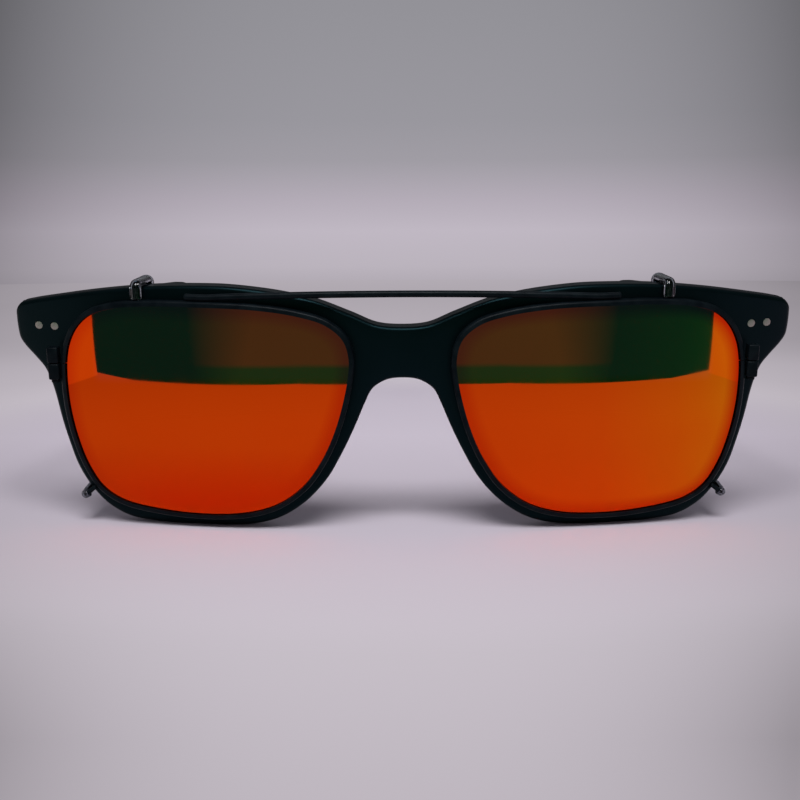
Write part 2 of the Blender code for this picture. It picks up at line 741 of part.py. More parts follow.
def nose_pad(front):
    """A crescent pad on the back of the front, along the edge of the nose gap"""
    bm = bmesh.new()
    bmesh.ops.create_uvsphere(bm, u_segments=16, v_segments=10, radius=1)
    bmesh.ops.scale(bm, vec=(PAD_WIDTH / 2, PAD_DEPTH, PAD_HEIGHT / 2), verts=bm.verts)
    cut = bmesh.ops.bisect_plane(bm, geom=bm.verts[:] + bm.edges[:] + bm.faces[:], dist=WELD,
                                 plane_co=(0, 0, 0), plane_no=(0, -1, 0), clear_outer=True)
    rim = [item for item in cut["geom_cut"] if isinstance(item, bmesh.types.BMEdge)]
    bmesh.ops.contextual_create(bm, geom=rim)
    arch_top = FRONT_HEIGHT * NOSE_SHARES[-1][1]
    lower = [i for i, point in enumerate(front) if point.x > 0 and point.y < arch_top]
    edge = min(lower, key=lambda i: abs(front[i].y - PAD_Z) + front[i].x)
    x = front[edge].x + PAD_EDGE_INSET
    rear = face_depth(x + PAD_WIDTH / 2) + FRONT_THICKNESS + TOUCH_GAP
    turn = Matrix.Rotation(-PAD_LEAN, 4, "Y")
    place = Matrix.Translation((x, rear, PAD_Z))
    bmesh.ops.transform(bm, matrix=place @ turn, verts=bm.verts)
    return finished(bm)


def rim_section(half_lens):
    """The rim wire's section as (outward, back) points, with the lens groove inside"""
    half = RIM_DEPTH / 2
    groove = half_lens + FIT_GAP
    deep = LENS_SEAT + FIT_GAP
    return [(0, -half), (RIM_WIDTH - RIM_CHAMFER, -half), (RIM_WIDTH, -half + RIM_CHAMFER),
            (RIM_WIDTH, half - RIM_CHAMFER), (RIM_WIDTH - RIM_CHAMFER, half), (0, half),
            (0, groove), (deep, groove), (deep, -groove), (0, -groove)]


def clip_rim(loop):
    """The rim wire round a clip-on lens, split at the closing block"""
    section = rim_section(LENS_THICKNESS / 2)
    rings = []
    count = len(loop)
    for i in range(count + 1):
        point = loop[i % count].copy()
        side = outward(loop, i % count)
        run = Vector((side.y, -side.x))
        if i == 0:
            point += run * (BLOCK_SPLIT / 2)
        if i == count:
            point -= run * (BLOCK_SPLIT / 2)
        ring = []
        for out, back in section:
            spot = point + side * out
            ring.append((spot.x, clip_depth(spot.x, spot.y) + back, spot.y))
        rings.append(ring)
    return loft(rings)


def block_centre(loop):
    """The closing block's middle in x and y, clear of the rim beside it"""
    start = loop[0]
    beside = [point.x for point in loop if abs(point.y - start.y) < BLOCK_HALF_HEIGHT + RIM_WIDTH]
    x = max(beside) + RIM_WIDTH + FIT_GAP + BLOCK_WIDTH / 2
    return x, clip_depth(start.x, start.y)


def closing_block(loop, upper):
    """One half of the block that closes the rim, on the wearer's left"""
    x, y = block_centre(loop)
    near = loop[0].y + upper * BLOCK_SPLIT / 2
    low, high = sorted((near, near + upper * BLOCK_HALF_HEIGHT))
    block = box((x - BLOCK_WIDTH / 2, y - BLOCK_DEPTH / 2, low),
                (x + BLOCK_WIDTH / 2, y + BLOCK_DEPTH / 2, high), BLOCK_ROUND)
    hole = rod(BLOCK_SCREW_RADIUS + FIT_GAP / 2, (x, y, low - OVERRUN), (x, y, high + OVERRUN))
    return combined(block, [hole], "DIFFERENCE")


def closing_screw(loop):
    x, y = block_centre(loop)
    half = BLOCK_SPLIT / 2 + BLOCK_HALF_HEIGHT
    seat = loop[0].y - half - FIT_GAP
    shank = rod(BLOCK_SCREW_RADIUS, (x, y, seat - BLOCK_SCREW_HEAD_HEIGHT / 2), (x, y, loop[0].y + half))
    head = rod(BLOCK_SCREW_HEAD_RADIUS, (x, y, seat - BLOCK_SCREW_HEAD_HEIGHT), (x, y, seat))
    return combined(shank, [head], "UNION")


def rim_top(loop, x):
    """The middle of the rim's outer side above the lens, at x"""
    i = top_at(loop, x)
    spot = loop[i] + outward(loop, i) * RIM_WIDTH
    return Vector((spot.x, clip_depth(loop[i].x, loop[i].y), spot.y))


def finer(loop):
    return spaced_loop(loop, len(loop) * FINE_STEPS)


def highest(loop, x, reach):
    """The outline's highest place within a reach of x"""
    return max(point.y for point in finer(loop) if abs(point.x - x) <= reach)


def clip_bar(loop):
    """The bar across the bridge, lying along the top of both rims at its ends"""
    lift = Vector((0, 0, BAR_RADIUS + FIT_GAP))
    outer = rim_top(loop, BAR_FOOT_INNER + BAR_FOOT_LENGTH) + lift
    inner = rim_top(loop, BAR_FOOT_INNER) + lift
    half = [outer, inner]
    for share in BAR_STATION_SHARES:
        fall = share ** 2
        half.append(Vector((inner.x * share, inner.y - BAR_BOW * (1 - fall),
                            inner.z + BAR_RISE * (1 - fall))))
    other = [Vector((-p.x, p.y, p.z)) for p in reversed(half[:-1])]
    return tube(half + other, BAR_RADIUS)


def hook_matrix():
    """Hook coordinates: x across the flat hook, y back over the brow, z up"""
    front_y = face_depth(HOOK_X - HOOK_HALF_BREADTH) - TOUCH_GAP - HOOK_SLEEVE_RADIUS
    return Matrix.Translation((HOOK_X, front_y, 0)) @ Matrix.Rotation(HOOK_TURN, 4, "Z")


def hook_path(front, loop):
    """A top hook in its own coordinates: up from the rim, over the brow and down behind it"""
    foot = highest(offset_loop(loop, RIM_WIDTH), HOOK_X, WIRE_RADIUS * HOOK_BREADTH) + FIT_GAP
    brow = highest(front, HOOK_X, HOOK_HALF_BREADTH)
    over = brow + SLEEVE_GAP + HOOK_SLEEVE_RADIUS
    rear_y = face_depth(HOOK_X + HOOK_HALF_BREADTH) + FRONT_THICKNESS + TOUCH_GAP + HOOK_SLEEVE_RADIUS
    back = (rear_y - hook_matrix().translation.y) / math.cos(HOOK_TURN)
    corners = [Vector((0, 0, foot)), Vector((0, 0, over)), Vector((0, back, over)),
               Vector((0, back, brow - HOOK_DROP))]
    return rounded_path(corners, HOOK_BEND_RADIUS)


def flat_hook(mesh):
    """A hook or its sleeve, broadened and put in its place on the front"""
    mesh.transform(hook_matrix() @ Matrix.Diagonal((HOOK_BREADTH, 1, 1, 1)))
    return mesh


def hook_pivot(front, loop):
    """The hooks' rear ends, about which the clip-on swings"""
    end = hook_matrix() @ hook_path(front, loop)[-1]
    return Vector((0, end.y, end.z))


def prong_path(front, loop):
    """A lower prong: out across the acetate from the rim, then back past its edge"""
    across, up = PRONG_SHARES
    want = Vector((LENS_X + across * LENS_WIDTH / 2, LENS_Z + up * LENS_HEIGHT / 2))
    lens_edge = finer(loop)
    front_edge = finer(front)
    i = min(range(len(lens_edge)), key=lambda k: (lens_edge[k] - want).length)
    out = outward(lens_edge, i)
    start = lens_edge[i] + out * (RIM_WIDTH + FIT_GAP + WIRE_RADIUS / 2)
    ahead = [k for k, point in enumerate(front_edge) if (point - start).dot(out) > 0]
    edge = min(ahead, key=lambda k: abs((front_edge[k] - start).cross(out)))
    corner = front_edge[edge] + outward(front_edge, edge) * (SLEEVE_GAP + PRONG_SLEEVE_RADIUS)
    y = clip_depth(lens_edge[i].x, lens_edge[i].y)
    rear = face_depth(corner.x) + PRONG_REACH_BACK
    corners = [Vector((start.x, y, start.y)), Vector((corner.x, y, corner.y)),
               Vector((corner.x, rear, corner.y))]
    return rounded_path(corners, PRONG_BEND_RADIUS)


def build_front(front_axes):
    eye = lens_loop(EYE_WIDTH, EYE_HEIGHT)
    frame = front_frame(eye)
    seat = offset_loop(eye, EYE_LENS_SEAT + FIT_GAP)
    groove = domed_plate(seat, eye_depth, EYE_LENS_THICKNESS + 2 * FIT_GAP)
    cutters = []
    for _, side in SIDES:
        for tool in [groove.copy(), *placed(hinge_cutters())]:
            if side < 0:
                tool.transform(Matrix.Diagonal((-1, 1, 1, 1)))
                tool.flip_normals()
            cutters.append(tool)
    frame = combined(frame, cutters, "DIFFERENCE")
    piece = add_piece("front_frame", frame, ACETATE, front_axes)
    for word, side in SIDES:
        lens = domed_plate(offset_loop(eye, EYE_LENS_SEAT), eye_depth, EYE_LENS_THICKNESS)
        add_piece("frame_lens_" + word, lens, CLEAR_LENS, front_axes, side)
        add_piece("nose_pad_" + word, nose_pad(FRONT_OUTLINE), PAD_ACETATE, front_axes, side)
    return piece


def placed(tools):
    """Left-hand hinge tools, moved from hinge coordinates to front coordinates"""
    for tool in tools:
        tool.transform(hinge_matrix(1))
    return tools


def build_hinge(word, side, front_axes, temple_axis, pin_height):
    """The hinge and the temple on one side"""
    fixed = empty("hinge_seat_" + word, front_axes, hinge_matrix(side))
    add_piece("front_hinge_" + word, front_leaf(), HINGE_METAL, fixed, side)
    add_piece("hinge_screw_" + word, hinge_screw(), STEEL, fixed, side)
    rivet_end = LEAF_THICKNESS - FIT_GAP - LEAF_FACE
    for place, x in zip(("inner", "outer"), rivet_places()):
        rivet = rod(RIVET_RADIUS, (x, rivet_start(x), 0), (x, rivet_end, 0))
        add_piece("front_rivet_" + place + "_" + word, rivet, STEEL, fixed, side)
    round_start = temple_round_start(pin_height)
    bore = tube(core_path(round_start, TEMPLE_BUTT - OVERRUN), CORE_RADIUS + FIT_GAP)
    core = tube(core_path(round_start, TEMPLE_BUTT + CORE_START)[:-1], CORE_RADIUS)
    back = TEMPLE_RIVET_BACK
    holes = [rod(BORE_RIVET, (0, back, z), (TEMPLE_OUTER + OVERRUN, back, z))
             for z in temple_rivet_places()]
    body = combined(temple_body(round_start), [bore, *holes], "DIFFERENCE")
    add_piece("temple_" + word, body, ACETATE, temple_axis, side)
    add_piece("temple_core_" + word, core, STEEL, temple_axis, side)
    add_piece("temple_hinge_" + word, temple_leaf(), HINGE_METAL, temple_axis, side)
    for place, z in zip(("lower", "upper"), temple_rivet_places()):
        rivet = rod(RIVET_RADIUS, (TEMPLE_INNER - LEAF_THICKNESS, back, z),
                    (TEMPLE_OUTER - FIT_GAP / 2, back, z))
        add_piece("temple_rivet_" + place + "_" + word, rivet, STEEL, temple_axis, side)


def rivet_start(x):
    """Where the front's face lies on a rivet's line, in hinge coordinates"""
    y = -PIN_SETBACK - FRONT_THICKNESS
    for _ in range(RIVET_SOLVE_ROUNDS):
        spot = hinge_matrix(1) @ Vector((x, y, 0))
        y += face_depth(spot.x) - spot.y
    return y + FIT_GAP / 2


def build_clip(clip_axis, pivot):
    """The clip-on, drawn for the left and mirrored, about the line it swings on"""
    loop = lens_loop(LENS_WIDTH, LENS_HEIGHT)
    shift = -pivot
    add_piece("clip_bar", clip_bar(loop), BLACK_METAL, clip_axis, 1, shift)
    for word, side in SIDES:
        def add(name, mesh, spec):
            add_piece(name + "_" + word, mesh, spec, clip_axis, side, shift)

        glass = domed_plate(offset_loop(loop, LENS_SEAT), clip_depth, LENS_THICKNESS)
        hook = hook_path(FRONT_OUTLINE, loop)
        prong = prong_path(FRONT_OUTLINE, loop)
        bore = WIRE_RADIUS + FIT_GAP / 2
        hook_cover = sleeve(path_from(hook, HOOK_SLEEVE_START), HOOK_SLEEVE_RADIUS, bore)
        prong_cover = sleeve(path_from(prong, PRONG_SLEEVE_START), PRONG_SLEEVE_RADIUS, bore)
        add("clip_rim", clip_rim(loop), BLACK_METAL)
        add("clip_lens", glass, MIRROR_LENS)
        add("closing_block_upper", closing_block(loop, 1), BLACK_METAL)
        add("closing_block_lower", closing_block(loop, -1), BLACK_METAL)
        add("closing_screw", closing_screw(loop), BLACK_METAL)
        add("top_hook", flat_hook(tube(hook, WIRE_RADIUS)), BLACK_METAL)
        add("top_hook_sleeve", flat_hook(hook_cover), SLEEVE)
        add("lower_prong", tube(prong, WIRE_RADIUS), BLACK_METAL)
        add("lower_prong_sleeve", prong_cover, SLEEVE)


def lowest(pieces):
    """The lowest world height among the pieces"""
    bpy.context.view_layer.update()
    heights = []
    for piece in pieces:
        heights += [(piece.matrix_world @ vert.co).z for vert in piece.data.vertices]
    return min(heights)


def centre_on_table(root):
    """Put the middle of the whole object's base at the origin"""
    bpy.context.view_layer.update()
    places = []
    for piece in PARTS.objects:
        if piece.type == "MESH":
            places += [piece.matrix_world @ vert.co for vert in piece.data.vertices]
    ys = [place.y for place in places]
    root.location.y -= (min(ys) + max(ys)) / 2
    root.location.z -= min(place.z for place in places)


clear_scene()
PARTS = new_collection(OBJECT_NAME)
CUTTERS = new_collection(OBJECT_NAME + "_cutters")
FRONT_OUTLINE = front_loop()

ROOT = empty("sunglasses_root")
FRONT_AXES = empty("front_axes", ROOT, Matrix.Rotation(TILT, 4, "X"))
FRONT_PIECE = build_front(FRONT_AXES)
TABLE = lowest([FRONT_PIECE])
for WORD, SIDE in SIDES:
    AXIS = empty("temple_" + WORD + "_axis", FRONT_AXES, hinge_matrix(SIDE))
    bpy.context.view_layer.update()
    build_hinge(WORD, SIDE, FRONT_AXES, AXIS, AXIS.matrix_world.translation.z - TABLE)
PIVOT = hook_pivot(FRONT_OUTLINE, lens_loop(LENS_WIDTH, LENS_HEIGHT))
CLIP_AXIS = empty("clip_swing_axis", FRONT_AXES, Matrix.Translation(PIVOT))
build_clip(CLIP_AXIS, PIVOT)
centre_on_table(ROOT)
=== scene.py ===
import json
import math

import bmesh
import bpy
import numpy as np
from mathutils import Matrix, Vector
from mathutils.geometry import delaunay_2d_cdt


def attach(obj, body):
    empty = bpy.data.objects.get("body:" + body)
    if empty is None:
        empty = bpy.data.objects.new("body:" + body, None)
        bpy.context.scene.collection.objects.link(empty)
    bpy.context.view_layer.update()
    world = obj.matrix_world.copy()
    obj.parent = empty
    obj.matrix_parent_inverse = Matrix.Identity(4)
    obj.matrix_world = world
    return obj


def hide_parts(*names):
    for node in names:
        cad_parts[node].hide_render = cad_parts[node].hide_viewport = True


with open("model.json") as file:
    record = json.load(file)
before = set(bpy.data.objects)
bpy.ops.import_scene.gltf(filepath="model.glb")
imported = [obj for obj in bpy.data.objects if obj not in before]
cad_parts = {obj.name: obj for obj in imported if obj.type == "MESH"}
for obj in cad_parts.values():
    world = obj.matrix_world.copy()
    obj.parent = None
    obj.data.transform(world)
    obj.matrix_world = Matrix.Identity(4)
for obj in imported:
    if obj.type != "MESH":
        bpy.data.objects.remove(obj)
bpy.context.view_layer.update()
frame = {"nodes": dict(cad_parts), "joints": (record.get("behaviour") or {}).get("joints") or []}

# The looks of a black acetate spectacle frame and its mirrored clip-on. Pieces are drawn
# for the wearer's left in front coordinates (x left, y back, z up, before the front leans)
# and mirrored for the right. All lengths are in metres.
MM = 0.001

# Clip-on
LENS_WIDTH = 52.5 * MM
LENS_HEIGHT = 39.2 * MM
LENS_SPACING = 19.0 * MM
LENS_THICKNESS = 1.0 * MM
LENS_DOME_RADIUS = 150 * MM
CLIP_STANDOFF = 2.9 * MM
RIM_WIDTH = 0.95 * MM
RIM_DEPTH = 1.8 * MM
RIM_ROUND = 0.45 * MM
LENS_SEAT = 0.4 * MM
BAR_RADIUS = 0.6 * MM
BAR_RISE = 1.0 * MM
BAR_BOW = 2.4 * MM
BAR_FOOT_INNER = 34.4 * MM
BAR_FOOT_LENGTH = 4.2 * MM
BLOCK_WIDTH = 2.0 * MM
BLOCK_DEPTH = 2.2 * MM
BLOCK_HALF_HEIGHT = 3.0 * MM
BLOCK_ROUND = 0.3 * MM
BLOCK_SPLIT = 0.12 * MM
BLOCK_SCREW_RADIUS = 0.45 * MM
BLOCK_SCREW_HEAD_RADIUS = 0.8 * MM
BLOCK_SCREW_HEAD_HEIGHT = 0.5 * MM
BLOCK_SLOT_WIDTH = 0.25 * MM
HOOK_FROM_LENS_CENTRE = 11.75 * MM
HOOK_TURN = math.radians(8)
HOOK_DROP = 1.6 * MM
HOOK_BEND_RADIUS = 1.1 * MM
HOOK_BREADTH = 1.5
HOOK_SLEEVE_RADIUS = 0.7 * MM
HOOK_SLEEVE_START = 0.1 * MM
WIRE_RADIUS = 0.42 * MM
WIRE_END_DEGREES = (180, 100)
SLEEVE_LIP = 0.12 * MM
PRONG_BEND_RADIUS = 1.0 * MM
PRONG_REACH_BACK = 2.8 * MM
PRONG_SLEEVE_RADIUS = 0.85 * MM
PRONG_SLEEVE_START = 1.9 * MM

# Acetate front
FACE_RADIUS = 230 * MM
FRONT_THICKNESS = 4.0 * MM
FRONT_EDGE_ROUND = 0.8 * MM
FRONT_CROWN = 0.12 * MM
CROWN_REACH = 2.0 * MM
LOWER_RIM = 3.1 * MM
BROW_RISE = 3.4 * MM
END_PIECE_REACH = 10.15 * MM
EYE_INSET_SIDE = 1.9 * MM
EYE_INSET_EDGE = 2.3 * MM
EYE_EDGE_ROUND = 0.4 * MM
EYE_LENS_THICKNESS = 1.6 * MM
EYE_LENS_SETBACK = 1.3 * MM
EYE_LENS_SEAT = 0.6 * MM
EYE_GROOVE_HALF = 0.5 * MM
BEVEL_TIP_HALF = 0.12 * MM
GRID_SPACING = 1.3 * MM

# Nose pads
PAD_HEIGHT = 13 * MM
PAD_WIDTH = 4.4 * MM
PAD_DEPTH = 3.8 * MM
PAD_Z = 19.5 * MM
PAD_EDGE_INSET = 2.2 * MM
PAD_LEAN = math.radians(24)
PAD_SPREAD_POWER = 0.8
PAD_RISE_POWER = 0.9

# Hinges
HINGE_BELOW_TOP = 8.5 * MM
HINGE_TURN = math.radians(6)
HINGE_BLOCK_MARGIN = 0.5 * MM
PIN_SETBACK = 2.6 * MM
KNUCKLE_RADIUS = 1.4 * MM
KNUCKLE_HEIGHT = 1.2 * MM
KNUCKLE_COUNT = 5
KNUCKLE_WEB = 0.9 * MM
KNUCKLE_ROUND = 0.12 * MM
LEAF_THICKNESS = 0.9 * MM
LEAF_ROUND = 0.2 * MM
FRONT_LEAF_WIDTH = 6.3 * MM
FRONT_LEAF_INNER = 3.8 * MM
TEMPLE_LEAF_LENGTH = 9.0 * MM
PIN_RADIUS = 0.55 * MM
PIN_HEAD_RADIUS = 1.0 * MM
PIN_HEAD_HEIGHT = 0.5 * MM
PIN_SLOT_WIDTH = 0.35 * MM
RIVET_RADIUS = 0.75 * MM
RIVET_SPACING = 3.25 * MM
RIVET_MIDDLE = -0.17 * MM
RIVET_CHAMFER = 0.08 * MM
TEMPLE_RIVET_BACK = 5.0 * MM
TEMPLE_RIVET_SPACING = 3.8 * MM

# Temples
TEMPLE_THICKNESS = 3.7 * MM
TEMPLE_HEIGHT = 7.2 * MM
TEMPLE_WAIST_THICKNESS = 3.1 * MM
TEMPLE_WAIST_HEIGHT = 7.6 * MM
TIP_HEIGHT = 8.4 * MM
TIP_THICKNESS = 3.6 * MM
TEMPLE_EDGE = 0.9 * MM
TEMPLE_STRAIGHT = 88 * MM
EAR_BEND_RADIUS = 20 * MM
EAR_BEND = math.radians(45)
TIP_INWARD = 3.0 * MM
BUTT_ROUND = 0.15 * MM
TIP_SHORTFALL = 0.25 * MM
TIP_DEGREES = (6, 87)

# Clearances
FIT_GAP = 0.1 * MM
TOUCH_GAP = 0.3 * MM
SLEEVE_GAP = 0.1 * MM
BUTT_GAP = 0.2 * MM
HAIR_GAP = 0.03 * MM
OVERRUN = 2.0 * MM
WELD = 0.001 * MM

# Counts
LENS_POINT_COUNT = 320
LENS_RING_COUNT = 26
OUTLINE_POINT_COUNT = 900
EDGE_STEPS = 5
BEND_STEPS = 10
FINE_STEPS = 16
TIP_STEPS = 16
SEARCH_STEPS = 5
BATCH_SIZE = 100
ROUND_SIDES = 40
WIRE_SIDES = 24
TEMPLE_STATION_COUNT = 170

# Lens outline from the closing block down and round, in shares of the half sizes
LENS_SHARES = (
    (0.994, 0.42), (1.0, 0.14), (0.985, -0.1), (0.95, -0.34), (0.895, -0.57), (0.8, -0.785),
    (0.655, -0.91), (0.36, -0.982), (0.01, -1.0), (-0.28, -0.96), (-0.49, -0.86),
    (-0.67, -0.67), (-0.795, -0.43), (-0.88, -0.19), (-0.945, 0.08), (-0.99, 0.36),
    (-1.0, 0.55), (-0.962, 0.72), (-0.848, 0.852), (-0.66, 0.932), (-0.37, 0.985),
    (0.05, 1.0), (0.36, 0.995), (0.62, 0.96), (0.79, 0.888), (0.895, 0.77), (0.962, 0.61),
)

# Front outline from the bridge over the brow and round the end piece to the rim bottom,
# in shares of half the width and of the height
BROW_SHARES = (
    (0.0, 0.846), (0.063, 0.855), (0.126, 0.896), (0.215, 0.949), (0.281, 0.971),
    (0.338, 0.985), (0.426, 0.998), (0.486, 1.0), (0.617, 0.993), (0.756, 0.969),
    (0.883, 0.936), (0.955, 0.914), (0.983, 0.901), (0.998, 0.872), (1.0, 0.84),
    (0.999, 0.79), (0.995, 0.753), (0.982, 0.722), (0.955, 0.677), (0.932, 0.634),
    (0.918, 0.58), (0.909, 0.526), (0.897, 0.423), (0.881, 0.319), (0.86, 0.216),
    (0.831, 0.137), (0.786, 0.062), (0.725, 0.014), (0.64, 0.0), (0.54, 0.0),
)

# Front outline from the rim bottom up the nose to the arch, in shares of the lens
# centre's distance from the middle and of the height
NOSE_SHARES = (
    (0.9, 0.004), (0.755, 0.018), (0.64, 0.048), (0.54, 0.097), (0.462, 0.152),
    (0.383, 0.229), (0.308, 0.335), (0.246, 0.438), (0.193, 0.537), (0.162, 0.588),
    (0.135, 0.611), (0.076, 0.636), (0.0, 0.643),
)
BAR_STATION_SHARES = (0.9, 0.75, 0.6, 0.45, 0.3, 0.15, 0.0)
PRONG_SHARES = (0.817, -0.75)

LENS_X = (LENS_SPACING + LENS_WIDTH) / 2
LENS_Z = LOWER_RIM + LENS_HEIGHT / 2
FRONT_HALF = LENS_X + LENS_WIDTH / 2 + END_PIECE_REACH
FRONT_HEIGHT = LOWER_RIM + LENS_HEIGHT + BROW_RISE
HOOK_X = LENS_X + HOOK_FROM_LENS_CENTRE
HOOK_HALF_BREADTH = HOOK_SLEEVE_RADIUS * HOOK_BREADTH
EYE_WIDTH = LENS_WIDTH - 2 * EYE_INSET_SIDE
EYE_HEIGHT = LENS_HEIGHT - 2 * EYE_INSET_EDGE
LEAF_FACE = PIN_SETBACK - FIT_GAP
TEMPLE_INNER = PIN_SETBACK
TEMPLE_OUTER = TEMPLE_INNER + TEMPLE_THICKNESS
PIN_X = FRONT_HALF - TEMPLE_OUTER - HINGE_BLOCK_MARGIN
HINGE_Z = FRONT_HEIGHT - HINGE_BELOW_TOP
KNUCKLE_PITCH = KNUCKLE_HEIGHT + FIT_GAP
HINGE_HALF = (KNUCKLE_COUNT * KNUCKLE_PITCH - FIT_GAP) / 2
TEMPLE_BUTT = BUTT_GAP - PIN_SETBACK
ROUND_TIP = TIP_HEIGHT / 2
BEND_END = TEMPLE_STRAIGHT + EAR_BEND_RADIUS * EAR_BEND

SIDES = (("left", 1), ("right", -1))
SHARP_ANGLE = math.radians(35)
JOINTS = {joint["name"]: joint for joint in frame["joints"]}
MIRROR = Matrix.Diagonal((-1, 1, 1, 1))


# Depths of the bent front and of the domed lenses

def face_depth(x):
    return FACE_RADIUS - math.sqrt(FACE_RADIUS ** 2 - x ** 2)


def face_slope(x):
    return x / math.sqrt(FACE_RADIUS ** 2 - x ** 2)


def lens_depth(x, z):
    across = x - LENS_X
    up = z - LENS_Z
    dome = (across ** 2 + up ** 2) / (2 * LENS_DOME_RADIUS)
    return face_depth(LENS_X) + face_slope(LENS_X) * across + dome


def clip_depth(x, z):
    return lens_depth(x, z) - CLIP_STANDOFF


def eye_depth(x, z):
    return lens_depth(x, z) + EYE_LENS_SETBACK


# Where the pieces lie, from the frame's left hinge joint

def hinge_matrix():
    """Hinge coordinates of the wearer's left: the pin along z, x out, y back"""
    rear = face_depth(PIN_X) + FRONT_THICKNESS
    place = Matrix.Translation((PIN_X, rear + PIN_SETBACK, HINGE_Z))
    return place @ Matrix.Rotation(HINGE_TURN, 4, "Z")


def front_matrix():
    """Front coordinates to the frame: the left pin's place and lean say where the front is"""
    joint = JOINTS["left_temple_fold"]
    axis = Vector(joint["axis"])
    lean = Matrix.Rotation(math.atan2(-axis.y, axis.z), 4, "X")
    offset = Vector(joint["pos_m"]) - lean @ hinge_matrix().translation
    return Matrix.Translation(offset) @ lean


FRONT = front_matrix()
HINGE = hinge_matrix()
TILT = FRONT.to_euler().x
FRONT_RIVETS = [RIVET_MIDDLE + k * RIVET_SPACING / 2 for k in (-1, 1)]
TEMPLE_RIVETS = [k * TEMPLE_RIVET_SPACING / 2 - math.tan(TILT) * TEMPLE_RIVET_BACK for k in (-1, 1)]


# Curves and outlines

def ease(share):
    share = min(max(share, 0.0), 1.0)
    return share * share * (3 - 2 * share)


def blend(one, two, share):
    return one + (two - one) * share


def smooth_between(before, start, end, after, share):
    """A point on the centripetal curve from start to end"""
    knots = [0.0]
    points = (before, start, end, after)
    for one, two in zip(points, points[1:]):
        knots.append(knots[-1] + math.sqrt((two - one).length))
    t = knots[1] + share * (knots[2] - knots[1])

    def mix(one, two, low, high):
        return one * ((high - t) / (high - low)) + two * ((t - low) / (high - low))

    first = mix(before, start, knots[0], knots[1])
    second = mix(start, end, knots[1], knots[2])
    third = mix(end, after, knots[2], knots[3])
    left = mix(first, second, knots[0], knots[2])
    right = mix(second, third, knots[1], knots[3])
    return mix(left, right, knots[1], knots[2])


def through(points):
    """Fine points of the curve through all the points but the first and the last two"""
    fine = []
    for around in zip(points, points[1:], points[2:], points[3:]):
        fine += [smooth_between(*around, k / FINE_STEPS) for k in range(FINE_STEPS)]
    return fine


def smooth_loop(points):
    return through([points[-1], *points, *points[:2]])


def smooth_line(points):
    """A fine open curve through the points"""
    ends = [2 * points[0] - points[1], *points, 2 * points[-1] - points[-2]]
    return through(ends) + [points[-1]]


def spaced(path, count):
    """Evenly spaced points along an open path, with both ends"""
    reach = [0.0]
    for one, two in zip(path, path[1:]):
        reach.append(reach[-1] + (two - one).length)
    found = []
    leg = 0
    for k in range(count):
        want = reach[-1] * k / (count - 1)
        while leg < len(path) - 2 and reach[leg + 1] < want:
            leg += 1
        share = (want - reach[leg]) / (reach[leg + 1] - reach[leg])
        found.append(path[leg].lerp(path[leg + 1], min(share, 1.0)))
    return found


def spaced_loop(points, count):
    fine = smooth_loop(points)
    return spaced(fine + fine[:1], count + 1)[:-1]


def lens_loop(width, height):
    """The lens outline at a size, as (x, z) points that start at the closing block"""
    points = [Vector((LENS_X + u * width / 2, LENS_Z + v * height / 2)) for u, v in LENS_SHARES]
    return spaced_loop(points, LENS_POINT_COUNT)


def front_loop():
    """The front's outline, mirrored about the middle, as (x, z) points"""
    half = [Vector((u * FRONT_HALF, v * FRONT_HEIGHT)) for u, v in BROW_SHARES]
    half += [Vector((u * LENS_X, v * FRONT_HEIGHT)) for u, v in NOSE_SHARES]
    other = [Vector((-point.x, point.y)) for point in reversed(half[1:-1])]
    fine = smooth_loop(half + other)
    side = spaced(fine[:len(fine) // 2 + 1], OUTLINE_POINT_COUNT // 2 + 1)
    return side + [Vector((-point.x, point.y)) for point in reversed(side[1:-1])]


def outward(loop, i):
    run = (loop[(i + 1) % len(loop)] - loop[i - 1]).normalized()
    return Vector((-run.y, run.x))


def offset_loop(loop, distance):
    return [point + outward(loop, i) * distance for i, point in enumerate(loop)]


def top_at(loop, x):
    middle = (max(p.y for p in loop) + min(p.y for p in loop)) / 2
    upper = [i for i, point in enumerate(loop) if point.y > middle]
    return min(upper, key=lambda i: abs(loop[i].x - x))


def rounded_path(points, radius):
    """A path through the points, with an arc of the radius at each inner corner"""
    path = [points[0]]
    for before, corner, after in zip(points, points[1:], points[2:]):
        back = (before - corner).normalized()
        on = (after - corner).normalized()
        half = back.angle(on) / 2
        trim = radius / math.tan(half)
        centre = corner + (back + on).normalized() * (radius / math.sin(half))
        start = corner + back * trim - centre
        end = corner + on * trim - centre
        for k in range(BEND_STEPS + 1):
            path.append(centre + start.slerp(end, k / BEND_STEPS).normalized() * radius)
    path.append(points[-1])
    return path


def path_from(path, distance):
    """What is left of a path past a distance along it"""
    for k, (one, two) in enumerate(zip(path, path[1:])):
        leg = (two - one).length
        if distance < leg:
            return [one.lerp(two, distance / leg), *path[k + 1:]]
        distance -= leg
    return path[-2:]


def arc(across, up, radius, start, end, steps=EDGE_STEPS):
    """(across, up) points along an arc about a centre, from one angle in degrees to another"""
    angles = [math.radians(blend(start, end, k / steps)) for k in range(steps + 1)]
    return [(across + radius * math.cos(angle), up + radius * math.sin(angle)) for angle in angles]


def rounded_rectangle(half_width, half_height, edge):
    """(across, up) points round a rounded rectangle"""
    points = []
    for across, up, start in ((1, 1, 0), (-1, 1, 90), (-1, -1, 180), (1, -1, 270)):
        points += arc(across * (half_width - edge), up * (half_height - edge), edge, start, start + 90)
    return points


def rounded_profile(radius, low, high, edge):
    """(radius, height) points up the side of a round body, its edges rounded"""
    return arc(radius - edge, low + edge, edge, 270, 360) + arc(radius - edge, high - edge, edge, 0, 90)


# Meshes

def finished(bm):
    bmesh.ops.recalc_face_normals(bm, faces=bm.faces)
    mesh = bpy.data.meshes.new("mesh")
    bm.to_mesh(mesh)
    bm.free()
    return mesh


